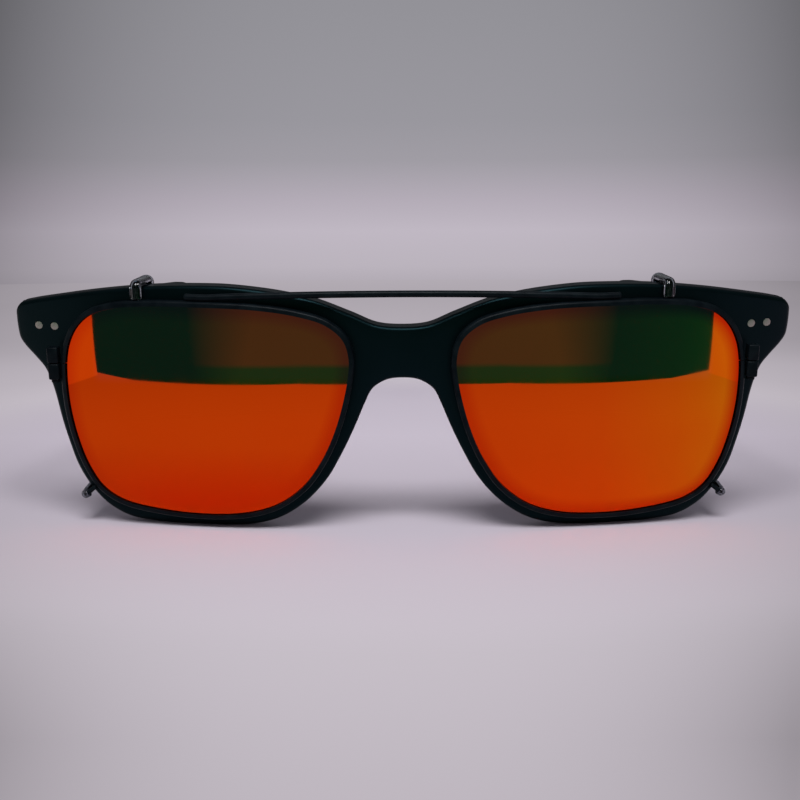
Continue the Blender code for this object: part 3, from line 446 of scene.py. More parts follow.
def bridge(bm, one, two):
    for i in range(len(one)):
        bm.faces.new((one[i], one[i - 1], two[i - 1], two[i]))


def cap(bm, ring, centre):
    """Close a ring with a fan about a new vertex, which it returns"""
    middle = bm.verts.new(centre)
    for i in range(len(ring)):
        bm.faces.new((ring[i], ring[i - 1], middle))
    return middle


def ring_body(sections, ends="fans", tips=None):
    """A body through like-numbered rings of points; its ends are fans, flat faces or joined"""
    bm = bmesh.new()
    rings = [[bm.verts.new(point) for point in ring] for ring in sections]
    for one, two in zip(rings, rings[1:]):
        bridge(bm, one, two)
    if ends == "joined":
        bridge(bm, rings[-1], rings[0])
    for k in (0, -1):
        if ends == "fans":
            cap(bm, rings[k], tips[k] if tips else sum(sections[k], Vector()) / len(sections[k]))
        elif ends == "flat":
            bm.faces.new(rings[k])
    return finished(bm)


def path_frames(path):
    """Two crossing directions at each point of a path, carried along without twist"""
    frames = []
    along = (path[1] - path[0]).normalized()
    side = along.orthogonal().normalized()
    for i in range(len(path)):
        ahead = path[min(i + 1, len(path) - 1)]
        run = (ahead - path[max(i - 1, 0)]).normalized()
        side = (side - run * side.dot(run)).normalized()
        frames.append((side, run.cross(side)))
    return frames


def circle(centre, side, up, radius, count):
    """Points round a circle that lies along two crossing directions"""
    turns = [2 * math.pi * k / count for k in range(count)]
    return [centre + (side * math.cos(turn) + up * math.sin(turn)) * radius for turn in turns]


def ring_makers(path):
    """What makes a ring set back from the path's start, rings at its inner points, or one set
    back from its end"""
    frames = path_frames(path)
    start = (path[1] - path[0]).normalized()
    end = (path[-1] - path[-2]).normalized()

    def first(setback, radius):
        return circle(path[0] + start * setback, *frames[0], radius, WIRE_SIDES)

    def inner(radius):
        return [circle(point, *pair, radius, WIRE_SIDES) for point, pair in list(zip(path, frames))[1:-1]]

    def last(setback, radius):
        return circle(path[-1] - end * setback, *frames[-1], radius, WIRE_SIDES)

    return first, inner, last


def wire(path, radius):
    """A round wire along a path, its ends rounded off"""
    first, inner, last = ring_makers(path)
    edge = radius / 2
    end = arc(edge, radius - edge, edge, *WIRE_END_DEGREES)
    return ring_body([first(*spot) for spot in end] + inner(radius) + [last(*spot) for spot in end[::-1]])


def tube_shell(path, outer, hole, lip):
    """A sleeve along a path, with a hole right through and rounded lips"""
    first, inner, last = ring_makers(path)
    sections = [first(0, (outer + hole) / 2), first(0, outer - lip), first(lip, outer), *inner(outer)]
    sections += [last(lip, outer), last(0, outer - lip), last(0, hole + lip), last(lip, hole)]
    sections += [*inner(hole)[::-1], first(lip, hole), first(0, hole + lip)]
    return ring_body(sections, "joined")


def turned(profile, place=Matrix()):
    """A turned body about z from (radius, height) points"""
    turns = [2 * math.pi * k / ROUND_SIDES for k in range(ROUND_SIDES)]
    sections = [[Vector((radius * math.cos(turn), radius * math.sin(turn), height)) for turn in turns]
                for radius, height in profile]
    mesh = ring_body(sections, tips=[(0, 0, height) for _, height in profile])
    mesh.transform(place)
    return mesh


def aim(start, end):
    """A matrix that carries the z axis from the origin onto a line between two points"""
    turn = Vector((0, 0, 1)).rotation_difference(end - start).to_matrix().to_4x4()
    return Matrix.Translation(start) @ turn


def pin(radius, start, end, edge=WELD):
    """A round pin between two points"""
    start, end = Vector(start), Vector(end)
    return turned(rounded_profile(radius, 0, (end - start).length, edge), aim(start, end))


def bore(radius, start, end):
    """What cuts a hole for a pin or a wire of a radius, between two points"""
    return pin(radius + HAIR_GAP, start, end)


def rounded_box(low, high, edge):
    """A box between two opposite corners, its edges rounded"""
    low, high = Vector(low), Vector(high)
    bm = bmesh.new()
    bmesh.ops.create_cube(bm, size=1)
    bmesh.ops.scale(bm, vec=high - low, verts=bm.verts)
    bmesh.ops.translate(bm, vec=(low + high) / 2, verts=bm.verts)
    bmesh.ops.bevel(bm, geom=bm.edges, offset=edge, segments=EDGE_STEPS, affect="EDGES", profile=0.5)
    return finished(bm)


def new_object(name, data):
    thing = bpy.data.objects.new(name, data)
    bpy.context.scene.collection.objects.link(thing)
    return thing


def combined(mesh, tools, operation="DIFFERENCE"):
    """The mesh after a Boolean with each tool mesh in turn"""
    helpers = [new_object("helper", part) for part in (mesh, *tools)]
    base = helpers[0]
    for helper in helpers[1:]:
        modifier = base.modifiers.new("cut", "BOOLEAN")
        modifier.operation = operation
        modifier.solver = "EXACT"
        modifier.object = helper
    bpy.context.view_layer.update()
    graph = bpy.context.evaluated_depsgraph_get()
    result = bpy.data.meshes.new_from_object(base.evaluated_get(graph))
    for helper in helpers:
        bpy.data.objects.remove(helper, do_unlink=True)
    return result


# Pieces

def mirrored(mesh, side):
    """The mesh, mirrored where the side is the wearer's right"""
    if side < 0:
        mesh.transform(MIRROR)
        mesh.flip_normals()
    return mesh


def add_piece(name, node, slot, materials, body, mesh, side=1):
    """Place a mesh drawn in front coordinates, hang it on the body it rides on, and hide the CAD node it
    stands for
    """
    mirrored(mesh, side).transform(FRONT)
    mesh.name = name
    mesh.materials.clear()
    for material in materials:
        mesh.materials.append(material)
    mesh.shade_smooth()
    mesh.set_sharp_from_angle(angle=SHARP_ANGLE)
    piece = new_object(name, mesh)
    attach(piece, body)
    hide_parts(node)


def add_sides(body, rows):
    """Place both sides' pieces, from rows of name, node, slot, materials and what makes the mesh"""
    for word, side in SIDES:
        for name, node, slot, materials, make, *values in rows:
            add_piece(name + "_" + word, node + "_" + word, slot, materials, body.format(word),
                      make(*values), side)


def inside(points, loop):
    """Which points lie inside a closed outline"""
    x, y = points[:, 0], points[:, 1]
    found = np.zeros(len(points), bool)
    corners = np.array([tuple(point) for point in loop])
    for one, two in zip(corners, np.roll(corners, -1, axis=0)):
        if one[1] == two[1]:
            continue
        crosses = (one[1] > y) != (two[1] > y)
        reach = one[0] + (y - one[1]) / (two[1] - one[1]) * (two[0] - one[0])
        found ^= crosses & (x < reach)
    return found


def distance_to(points, loop):
    """Each point's distance to the nearest point of a fine outline"""
    corners = np.array([tuple(point) for point in loop])
    best = np.full(len(points), np.inf)
    for start in range(0, len(corners), BATCH_SIZE):
        part = corners[start:start + BATCH_SIZE]
        gaps = np.linalg.norm(points[:, None, :] - part[None, :, :], axis=2)
        best = np.minimum(best, gaps.min(axis=1))
    return best


def flat_triangles(outer, holes):
    """Points and triangles that fill an outline with holes, well spaced for bending"""
    across = np.arange(-FRONT_HALF, FRONT_HALF, GRID_SPACING)
    up = np.arange(0, FRONT_HEIGHT, GRID_SPACING)
    grid = np.array([(x + (row % 2) * GRID_SPACING / 2, z)
                     for row, z in enumerate(up) for x in across])
    keep = inside(grid, outer) & (distance_to(grid, outer) > GRID_SPACING / 2)
    for hole in holes:
        keep &= ~inside(grid, hole) & (distance_to(grid, hole) > GRID_SPACING / 2)
    loops = [outer, *holes]
    points, edges = [], []
    for loop in loops:
        first = len(points)
        points += list(loop)
        edges += [(first + i, first + (i + 1) % len(loop)) for i in range(len(loop))]
    border = len(points)
    points += [Vector(spot) for spot in grid[keep]]
    result = delaunay_2d_cdt(points, edges, [], 0, WELD / 10)
    places, triangles, origins = result[0], result[2], result[3]
    spots = np.array([tuple(place) for place in places])
    middles = np.array([spots[list(tri)].mean(axis=0) for tri in triangles])
    wanted = inside(middles, outer)
    for hole in holes:
        wanted &= ~inside(middles, hole)
    kept = [tri for tri, good in zip(triangles, wanted) if good]
    to_border = {i: origin[0] for i, origin in enumerate(origins) if origin and origin[0] < border}
    return places, kept, to_border


def edge_profile(edge, between=()):
    """(inset, depth) points round an edge of the front, from its face to its back"""
    return [*arc(edge, edge, edge, 270, 180), *between, *arc(edge, FRONT_THICKNESS - edge, edge, 180, 90)]


def eye_profile(groove):
    """The same for an eye opening's edge, with the V groove that holds the lens"""
    seat = EYE_LENS_SEAT + HAIR_GAP
    tip = BEVEL_TIP_HALF + HAIR_GAP
    return edge_profile(EYE_EDGE_ROUND, ((0, groove - EYE_GROOVE_HALF), (seat, groove - tip),
                                         (seat, groove + tip), (0, groove + EYE_GROOVE_HALF)))


def front_mesh(outline, eye):
    """The acetate front: rounded edges, grooved eye openings, flats filled and bent"""
    other_eye = [Vector((-point.x, point.y)) for point in reversed(eye)]
    bm = bmesh.new()
    edge_layer = bm.verts.layers.float.new("edge")

    def new_vert(spot, depth, edge):
        vert = bm.verts.new((spot.x, depth + face_depth(spot.x), spot.y))
        vert[edge_layer] = edge
        return vert

    def loop_rings(loop, inward, profile_at):
        """Rings of vertices round a loop, front to back, one per profile point"""
        columns = []
        for i, point in enumerate(loop):
            away = outward(loop, i) * inward
            columns.append([(point + away * inset, depth) for inset, depth in profile_at(point)])
        rings = []
        for k in range(len(columns[0])):
            rings.append([new_vert(*column[k], 1.0) for column in columns])
        for one, two in zip(rings, rings[1:]):
            bridge(bm, one, two)
        return rings, [column[0][0] for column in columns]

    def groove_profile(point):
        return eye_profile(eye_depth(abs(point.x), point.y) - face_depth(point.x))

    outer, outer_flat = loop_rings(outline, -1, lambda point: edge_profile(FRONT_EDGE_ROUND))
    left, left_flat = loop_rings(eye, 1, groove_profile)
    right, right_flat = loop_rings(other_eye, 1, groove_profile)
    loops = [outer_flat, left_flat, right_flat]
    places, triangles, to_border = flat_triangles(outer_flat, [left_flat, right_flat])
    spots = np.array([tuple(place) for place in places])
    gap = np.min([distance_to(spots, loop) for loop in loops], axis=0)
    rise = 1 - np.exp(-gap / CROWN_REACH)
    for ring_index, depth, crown in ((0, 0.0, -FRONT_CROWN), (-1, FRONT_THICKNESS, 0.0)):
        border = [vert for rings in (outer, left, right) for vert in rings[ring_index]]
        verts = []
        for i, place in enumerate(places):
            if i in to_border:
                verts.append(border[to_border[i]])
            else:
                verts.append(new_vert(place, depth + crown * rise[i], math.exp(-gap[i] / CROWN_REACH)))
        for tri in triangles:
            bm.faces.new([verts[i] for i in tri])
    return finished(bm)


def end_piece_tools(side):
    """What squares off the end piece's rear, and the holes for its two rivets"""
    back = -PIN_SETBACK
    reach = FRONT_LEAF_WIDTH + TEMPLE_OUTER
    tools = [rounded_box((-FRONT_LEAF_INNER - OVERRUN, back, -HINGE_Z), (reach, back + reach, HINGE_Z),
                         WELD)]
    tools += [bore(RIVET_RADIUS, (x, -reach, 0), (x, back + FRONT_THICKNESS, 0)) for x in FRONT_RIVETS]
    for tool in tools:
        tool.transform(HINGE)
    return [mirrored(tool, side) for tool in tools]


def lens_mesh(loop, depth_at, thickness, seat, tip_half):
    """A domed lens with a V bevel: its outline steps out by the seat to a thin tip"""
    centre = Vector((LENS_X, LENS_Z))
    bm = bmesh.new()
    rim_layer = bm.verts.layers.float.new("rim")

    def place(point, out):
        return point.x, depth_at(*point) + out, point.y

    outer_rings = []
    for back in (-1, 1):
        rings = [[bm.verts.new(place(point, back * tip_half)) for point in offset_loop(loop, seat)]]
        for k in range(LENS_RING_COUNT):
            points = [centre.lerp(point, 1 - k / LENS_RING_COUNT) for point in loop]
            ring = [bm.verts.new(place(point, back * thickness / 2)) for point in points]
            for vert, edge in zip(ring, loop):
                vert[rim_layer] = (edge - vert.co.xz).length
            rings.append(ring)
        for one, two in zip(rings, rings[1:]):
            bridge(bm, one, two)
        cap(bm, rings[-1], place(centre, back * thickness / 2))[rim_layer] = LENS_HEIGHT / 2
        if back < 0:
            front_faces = set(bm.faces)
        outer_rings.append(rings[0])
    bridge(bm, *outer_rings)
    for face in bm.faces:
        face.material_index = 0 if face in front_faces else 1
    return finished(bm)


def rim_section():
    """The rim wire's section as (outward, back) points: round outside, grooved inside"""
    half = RIM_DEPTH / 2
    groove = LENS_THICKNESS / 2 + HAIR_GAP
    deep = LENS_SEAT + HAIR_GAP
    return [(0, -half), *rounded_profile(RIM_WIDTH, -half, half, RIM_ROUND), (0, half), (0, groove),
            (deep, groove), (deep, -groove), (0, -groove)]


def rim_mesh(loop):
    """The rim wire round a lens, split between the closing blocks"""
    rings = []
    count = len(loop)
    for i in range(count + 1):
        side = outward(loop, i % count)
        run = Vector((side.y, -side.x))
        split = {0: BLOCK_SPLIT / 2, count: -BLOCK_SPLIT / 2}.get(i, 0)
        spots = [(loop[i % count] + run * split + side * out, back) for out, back in rim_section()]
        rings.append([Vector((spot.x, clip_depth(*spot) + back, spot.y)) for spot, back in spots])
    return ring_body(rings, "flat")


def block_centre(loop):
    start = loop[0]
    beside = [point.x for point in loop if abs(point.y - start.y) < BLOCK_HALF_HEIGHT + RIM_WIDTH]
    x = max(beside) + RIM_WIDTH + FIT_GAP + BLOCK_WIDTH / 2
    return x, clip_depth(start.x, start.y)


def block_mesh(loop, upper):
    """A closing block, the upper or the lower one, with its screw's hole"""
    x, y = block_centre(loop)
    near = loop[0].y + upper * BLOCK_SPLIT / 2
    low, high = sorted((near, near + upper * BLOCK_HALF_HEIGHT))
    block = rounded_box((x - BLOCK_WIDTH / 2, y - BLOCK_DEPTH / 2, low),
                        (x + BLOCK_WIDTH / 2, y + BLOCK_DEPTH / 2, high), BLOCK_ROUND)
    return combined(block, [bore(BLOCK_SCREW_RADIUS, (x, y, low - OVERRUN), (x, y, high + OVERRUN))])


def slotted_screw(shank_radius, head_radius, head_height, slot_width, length, edge):
    """A screw with its slotted head below z zero and its shank above"""
    profile = arc(head_radius - edge, edge - head_height, edge, 270, 360)
    profile += [(head_radius, 0), (shank_radius, 0), (shank_radius, length - edge),
                (shank_radius - edge, length)]
    half = slot_width / 2
    slot = rounded_box((-head_radius - OVERRUN, -half, -head_height - OVERRUN),
                       (head_radius + OVERRUN, half, -head_height / 2), WELD)
    return combined(turned(profile), [slot])


def closing_screw_mesh(loop):
    x, y = block_centre(loop)
    half = BLOCK_SPLIT / 2 + BLOCK_HALF_HEIGHT
    length = 2 * half + FIT_GAP
    screw = slotted_screw(BLOCK_SCREW_RADIUS, BLOCK_SCREW_HEAD_RADIUS, BLOCK_SCREW_HEAD_HEIGHT,
                          BLOCK_SLOT_WIDTH, length, FIT_GAP)
    screw.transform(Matrix.Translation((x, y, loop[0].y - half - FIT_GAP)))
    return screw


def hinge_screw_mesh():
    """The hinge pin, its slotted head on the top knuckle"""
    seat = HINGE_HALF + FIT_GAP
    screw = slotted_screw(PIN_RADIUS, PIN_HEAD_RADIUS, PIN_HEAD_HEIGHT, PIN_SLOT_WIDTH,
                          seat + HINGE_HALF, FIT_GAP)
    over = Matrix.Rotation(math.pi, 4, "X")
    screw.transform(HINGE @ Matrix.Translation((0, 0, seat)) @ over)
    return screw


def rim_top(loop, x):
    i = top_at(loop, x)
    spot = loop[i] + outward(loop, i) * RIM_WIDTH
    return Vector((spot.x, clip_depth(loop[i].x, loop[i].y), spot.y))


def bar_mesh(loop):
    """The bridge bar, a round wire whose ends run along the rims' tops where they are soldered to them"""
    lift = Vector((0, 0, BAR_RADIUS + FIT_GAP))
    outer = rim_top(loop, BAR_FOOT_INNER + BAR_FOOT_LENGTH) + lift
    inner = rim_top(loop, BAR_FOOT_INNER) + lift
    half = [outer, inner]
    for share in BAR_STATION_SHARES:
        fall = share ** 2
        half.append(Vector((inner.x * share, inner.y - BAR_BOW * (1 - fall),
                            inner.z + BAR_RISE * (1 - fall))))
    other = [Vector((-p.x, p.y, p.z)) for p in reversed(half[:-1])]
    return wire(spaced(smooth_line(half + other), TEMPLE_STATION_COUNT), BAR_RADIUS)


def highest(loop, x, reach):
    """The outline's highest place within a reach of x"""
    return max(point.y for point in loop if abs(point.x - x) <= reach)


def hook_matrix():
    """Hook coordinates: x across the flat hook, y back over the brow, z up"""
    front_y = face_depth(HOOK_X - HOOK_HALF_BREADTH) - TOUCH_GAP - HOOK_SLEEVE_RADIUS
    return Matrix.Translation((HOOK_X, front_y, 0)) @ Matrix.Rotation(HOOK_TURN, 4, "Z")


def hook_path(front, loop):
    """A top hook in its own coordinates: up from the rim, over the brow and down behind it"""
    foot = highest(offset_loop(loop, RIM_WIDTH), HOOK_X, WIRE_RADIUS * HOOK_BREADTH) + FIT_GAP
    brow = highest(front, HOOK_X, HOOK_HALF_BREADTH)
    over = brow + SLEEVE_GAP + HOOK_SLEEVE_RADIUS
    rear_y = face_depth(HOOK_X + HOOK_HALF_BREADTH) + FRONT_THICKNESS + TOUCH_GAP + HOOK_SLEEVE_RADIUS
    back = (rear_y - hook_matrix().translation.y) / math.cos(HOOK_TURN)
    corners = [Vector((0, 0, foot)), Vector((0, 0, over)), Vector((0, back, over)),
               Vector((0, back, brow - HOOK_DROP))]
    return rounded_path(corners, HOOK_BEND_RADIUS)


def flat_hook(make, *values):
    """A hook or its sleeve, broadened and put in its place on the front"""
    mesh = make(*values)
    mesh.transform(hook_matrix() @ Matrix.Diagonal((HOOK_BREADTH, 1, 1, 1)))
    return mesh


def prong_path(front, loop):
    """A lower prong: out across the acetate from the rim, then back past its edge"""
    across, up = PRONG_SHARES
    want = Vector((LENS_X + across * LENS_WIDTH / 2, LENS_Z + up * LENS_HEIGHT / 2))
    i = min(range(len(loop)), key=lambda k: (loop[k] - want).length)
    out = outward(loop, i)
    start = loop[i] + out * (RIM_WIDTH + FIT_GAP + WIRE_RADIUS / 2)
    ahead = [k for k in range(len(front)) if (front[k] - start).dot(out) > 0]
    edge = min(ahead, key=lambda k: abs((front[k] - start).cross(out)))
    corner = front[edge] + outward(front, edge) * (SLEEVE_GAP + PRONG_SLEEVE_RADIUS)
    y = clip_depth(loop[i].x, loop[i].y)
    rear = face_depth(corner.x) + PRONG_REACH_BACK
    corners = [Vector((start.x, y, start.y)), Vector((corner.x, y, corner.y)),
               Vector((corner.x, rear, corner.y))]
    return rounded_path(corners, PRONG_BEND_RADIUS)


def temple_round_start():
    """Distance along the temple at which its tip rounds off, resting on the table"""
    pin_height = (FRONT @ HINGE).translation.z
    drop_in_bend = EAR_BEND_RADIUS * (1 - math.cos(EAR_BEND))
    return BEND_END + (pin_height - drop_in_bend - ROUND_TIP) / math.sin(EAR_BEND) - TIP_SHORTFALL


def temple_place(distance):
    turn = min(max(distance - TEMPLE_STRAIGHT, 0.0) / EAR_BEND_RADIUS, EAR_BEND)
    rest = max(distance - BEND_END, 0.0)
    level = min(distance, TEMPLE_STRAIGHT) + EAR_BEND_RADIUS * math.sin(turn) + rest * math.cos(EAR_BEND)
    down = EAR_BEND_RADIUS * (1 - math.cos(turn)) + rest * math.sin(EAR_BEND)
    y = level * math.cos(TILT) - down * math.sin(TILT)
    z = -level * math.sin(TILT) - down * math.cos(TILT)
    return y, z, turn + TILT


def temple_size(distance, round_start):
    along = ease(distance / TEMPLE_STRAIGHT)
    behind = ease((distance - TEMPLE_STRAIGHT) / (round_start - TEMPLE_STRAIGHT))
    height = blend(blend(TEMPLE_HEIGHT, TEMPLE_WAIST_HEIGHT, along), TIP_HEIGHT, behind)
    thickness = blend(blend(TEMPLE_THICKNESS, TEMPLE_WAIST_THICKNESS, along), TIP_THICKNESS, behind)
    past = max(distance - round_start, 0.0) / ROUND_TIP
    left = math.sqrt(1 - past ** 2)
    thickness *= (1 + left) / 2
    middle = TEMPLE_OUTER - thickness / 2 - TIP_INWARD * behind
    return height * left / 2, thickness / 2, middle


def temple_mesh():
    """The temple's acetate, from its squared butt to its rounded tip"""
    round_start = temple_round_start()
    half_height, half_thickness, x = temple_size(0, round_start)
    butt = Vector((x, TEMPLE_BUTT, -TEMPLE_BUTT * math.tan(TILT)))
    sections = []
    for inset, setback in ((BUTT_ROUND, 0), (BUTT_ROUND / 3, BUTT_ROUND / 3), (0, BUTT_ROUND)):
        shape = rounded_rectangle(half_thickness - inset, half_height - inset, TEMPLE_EDGE)
        sections.append([butt + Vector((across, setback, rise)) for across, rise in shape])
    stations = [round_start * (k + 1) / TEMPLE_STATION_COUNT for k in range(TEMPLE_STATION_COUNT)]
    stations += [distance for _, distance in arc(0, round_start, ROUND_TIP, *TIP_DEGREES, TIP_STEPS)]
    for distance in stations:
        y, z, pitch = temple_place(distance)
        half_height, half_thickness, x = temple_size(distance, round_start)
        edge = min(TEMPLE_EDGE, half_height / 2, half_thickness / 2)
        up = Vector((0, math.sin(pitch), math.cos(pitch)))
        shape = rounded_rectangle(half_thickness, half_height, edge)
        sections.append([Vector((x + across, y, z)) + up * rise for across, rise in shape])
    holes = [bore(RIVET_RADIUS, (0, TEMPLE_RIVET_BACK, z), (TEMPLE_OUTER + OVERRUN, TEMPLE_RIVET_BACK, z))
             for z in TEMPLE_RIVETS]
    body = combined(ring_body(sections), holes)
    body.transform(HINGE)
    return body


def knuckles(first, web_low, web_high):
    """Every other knuckle from the first, each with the web that joins it to its plate"""
    parts = []
    for k in range(first, KNUCKLE_COUNT, 2):
        low = -HINGE_HALF + k * KNUCKLE_PITCH
        high = low + KNUCKLE_HEIGHT
        parts.append(pin(KNUCKLE_RADIUS, (0, 0, low), (0, 0, high), KNUCKLE_ROUND))
        parts.append(rounded_box((*web_low, low + WELD), (*web_high, high - WELD), WELD))
    return parts


def leaf_mesh(plate, webs, holes):
    """A hinge half: its plate joined to its knuckles, with the pin's bore and rivet holes"""
    middle = bore(PIN_RADIUS, (0, 0, -HINGE_HALF - OVERRUN), (0, 0, HINGE_HALF + OVERRUN))
    leaf = combined(combined(plate, webs, "UNION"), [middle, *holes])
    leaf.transform(HINGE)
    return leaf


def front_leaf_mesh():
    plate = rounded_box((-FRONT_LEAF_INNER, -LEAF_FACE, -HINGE_HALF),
                        (FRONT_LEAF_WIDTH - FRONT_LEAF_INNER, LEAF_THICKNESS - LEAF_FACE, HINGE_HALF),
                        LEAF_ROUND)
    webs = knuckles(0, (-KNUCKLE_WEB, LEAF_THICKNESS / 2 - LEAF_FACE), (KNUCKLE_WEB, 0))
    hole_end = LEAF_THICKNESS + FIT_GAP - LEAF_FACE
    holes = [bore(RIVET_RADIUS, (x, -LEAF_FACE - OVERRUN, 0), (x, hole_end, 0)) for x in FRONT_RIVETS]
    return leaf_mesh(plate, webs, holes)


def temple_leaf_mesh():
    face = TEMPLE_INNER - FIT_GAP
    inner = face - LEAF_THICKNESS
    plate = rounded_box((inner, -KNUCKLE_RADIUS, -HINGE_HALF),
                        (face, TEMPLE_LEAF_LENGTH - KNUCKLE_RADIUS, HINGE_HALF), LEAF_ROUND)
    webs = knuckles(1, (0, -KNUCKLE_WEB), (inner + LEAF_THICKNESS / 2, KNUCKLE_WEB))
    back = TEMPLE_RIVET_BACK
    holes = [bore(RIVET_RADIUS, (inner - FIT_GAP, back, z), (face + OVERRUN, back, z))
             for z in TEMPLE_RIVETS]
    return leaf_mesh(plate, webs, holes)


def rivet_mesh(start, end):
    rivet = pin(RIVET_RADIUS, start, end, RIVET_CHAMFER)
    rivet.transform(HINGE)
    return rivet


def face_on_line(x):
    """Where the front's face lies on a rivet's line, in hinge coordinates"""
    y = -PIN_SETBACK - FRONT_THICKNESS
    for _ in range(SEARCH_STEPS):
        spot = HINGE @ Vector((x, y, 0))
        y += face_depth(spot.x) - spot.y
    return y


def pad_mesh(front):
    """A crescent nose pad: a soft half ellipsoid whose foot spreads onto the front"""
    arch_top = FRONT_HEIGHT * NOSE_SHARES[-1][1]
    lower = [i for i, point in enumerate(front) if point.x > 0 and point.y < arch_top]
    edge = min(lower, key=lambda i: abs(front[i].y - PAD_Z) + front[i].x)
    x = front[edge].x + PAD_EDGE_INSET
    rear = face_depth(x + PAD_WIDTH / 2) + FRONT_THICKNESS + TOUCH_GAP
    ring_count = ROUND_SIDES // 2
    sections = []
    for k in range(ring_count):
        angle = math.pi / 2 * k / ring_count
        spread = math.cos(angle) ** PAD_SPREAD_POWER / 2
        rise = math.sin(angle) ** PAD_RISE_POWER * PAD_DEPTH
        across, up = Vector((PAD_WIDTH, 0, 0)), Vector((0, 0, PAD_HEIGHT))
        sections.append(circle(Vector((0, rise, 0)), across, up, spread, ROUND_SIDES))
    mesh = ring_body(sections, tips=(Vector(), Vector((0, PAD_DEPTH, 0))))
    mesh.transform(Matrix.Translation((x, rear, PAD_Z)) @ Matrix.Rotation(-PAD_LEAN, 4, "Y"))
    return mesh


# Materials

def new_material(name):
    """A material with a Principled shader; returns it, its tree and the shader"""
    material = bpy.data.materials.new(name)
    material.use_nodes = True
    tree = material.node_tree
    return material, tree, tree.nodes["Principled BSDF"]


def put(value, socket):
    """Link a value that is a socket itself, and set any other; colours are three numbers"""
    if isinstance(value, bpy.types.NodeSocket):
        socket.id_data.links.new(value, socket)
    else:
        socket.default_value = (*value, 1.0) if isinstance(value, tuple) else value


def settle(shader, **values):
    """Set or link the shader's sockets, written with underscores"""
    for name, value in values.items():
        put(value, shader.inputs[name.replace("_", " ")])


def place_vector(tree, stretch=(1, 1, 1)):
    coordinates = tree.nodes.new("ShaderNodeTexCoord")
    mapping = tree.nodes.new("ShaderNodeMapping")
    mapping.inputs["Scale"].default_value = stretch
    tree.links.new(coordinates.outputs["Object"], mapping.inputs["Vector"])
    return mapping.outputs["Vector"]


def noise(tree, size, detail=3.0, stretch=(1, 1, 1)):
    """Noise with features of a size in metres"""
    texture = tree.nodes.new("ShaderNodeTexNoise")
    texture.inputs["Scale"].default_value = 1 / size
    texture.inputs["Detail"].default_value = detail
    tree.links.new(place_vector(tree, stretch), texture.inputs["Vector"])
    return texture.outputs["Fac"]


def ranged(tree, value, low, high, source=(0.0, 1.0)):
    """A value carried from one range to another"""
    node = tree.nodes.new("ShaderNodeMapRange")
    names = ("Value", "From Min", "From Max", "To Min", "To Max")
    for name, number in zip(names, (value, *source, low, high)):
        put(number, node.inputs[name])
    return node.outputs["Result"]


def ramp(tree, value, stops):
    """A colour, or a grey, that runs through stops of (value, colour or level)"""
    low, high = stops[0][0], stops[-1][0]
    node = tree.nodes.new("ShaderNodeValToRGB")
    tree.links.new(ranged(tree, value, 0.0, 1.0, (low, high)), node.inputs["Fac"])
    elements = node.color_ramp.elements
    while len(elements) < len(stops):
        elements.new(0.5)
    for element, (place, level) in zip(elements, stops):
        element.position = (place - low) / (high - low)
        colour = level if isinstance(level, tuple) else (level, level, level)
        element.color = (*colour, 1.0)
    return node.outputs["Color"]


def mixed(tree, factor, one, two):
    """A colour between two, by a factor"""
    node = tree.nodes.new("ShaderNodeMix")
    node.data_type = "RGBA"
    put(factor, node.inputs["Factor"])
    sockets = [socket for socket in node.inputs if socket.type == "RGBA"]
    for colour, socket in zip((one, two), sockets):
        put(colour, socket)
    return next(socket for socket in node.outputs if socket.type == "RGBA")


def arithmetic(tree, operation, *values):
    node = tree.nodes.new("ShaderNodeMath")
    node.operation = operation
    for value, socket in zip(values, node.inputs):
        put(value, socket)
    return node.outputs["Value"]


def times(tree, one, two):
    return arithmetic(tree, "MULTIPLY", one, two)


def minus(tree, one, two):
    return arithmetic(tree, "SUBTRACT", one, two)


def size_of(tree, value):
    return arithmetic(tree, "ABSOLUTE", value)


def separated(tree, vector):
    """A vector's x, y and z"""
    node = tree.nodes.new("ShaderNodeSeparateXYZ")
    put(vector, node.inputs["Vector"])
    return node.outputs


def add_bump(tree, shader, height, distance):
    node = tree.nodes.new("ShaderNodeBump")
    put(distance, node.inputs["Distance"])
    put(height, node.inputs["Height"])
    settle(shader, Normal=node.outputs["Normal"])


def stored(tree, name):
    """A number that the mesh keeps for each vertex"""
    node = tree.nodes.new("ShaderNodeAttribute")
    node.attribute_name = name
    return node.outputs["Fac"]


# Noise: where most of its values lie, its features' sizes, and how it is mixed
NOISE_MIDDLE = (0.3, 0.7)
NOISE_HIGH = (0.35, 0.7)
ACETATE_CLOUD = 9 * MM
ACETATE_GRAIN = 0.35 * MM
ACETATE_SCRATCH = 1.2 * MM
SCRATCH_STRETCH = (0.12, 1, 1)
CLOUD_SHARE = 0.4
ACETATE_BUMP = 0.004 * MM
METAL_PATCH = 2.5 * MM
METAL_BUMP = 0.003 * MM
BLACK_METAL_GRAIN = 0.5 * MM
RIVET_GRAIN = 0.25 * MM
HINGE_GRAIN = 0.3 * MM
GLASS_CLOUD = 8 * MM
GLASS_SMEAR = 2.2 * MM
TINT_CLOUD = 14 * MM
TINT_SMEAR = 5 * MM
COAT_DRIFT_SIZE = 22 * MM
COAT_DRIFT_MOST = 0.35
COAT_SMEAR = 6 * MM
COAT_SMEAR_STRETCH = (1, 1, 0.35)
COAT_SMEAR_RANGE = (0.4, 0.75)

# Shaders
ACETATE_SPECULAR = 0.1
ACETATE_TINT = (0.3, 0.85, 1.0)
ACETATE_IOR = 1.49
METAL_SPECULAR = 0.06
COAT_METALLIC = 0.985
COAT_SPECULAR = 0.2
COAT_ROUGHNESS = (0.02, 0.055)
SUN_LENS_IOR = 1.45
EYE_LENS_IOR = 1.5
SLEEVE_IOR = 1.28
SLEEVE_ROUGHNESS = (0.05, 0.14)

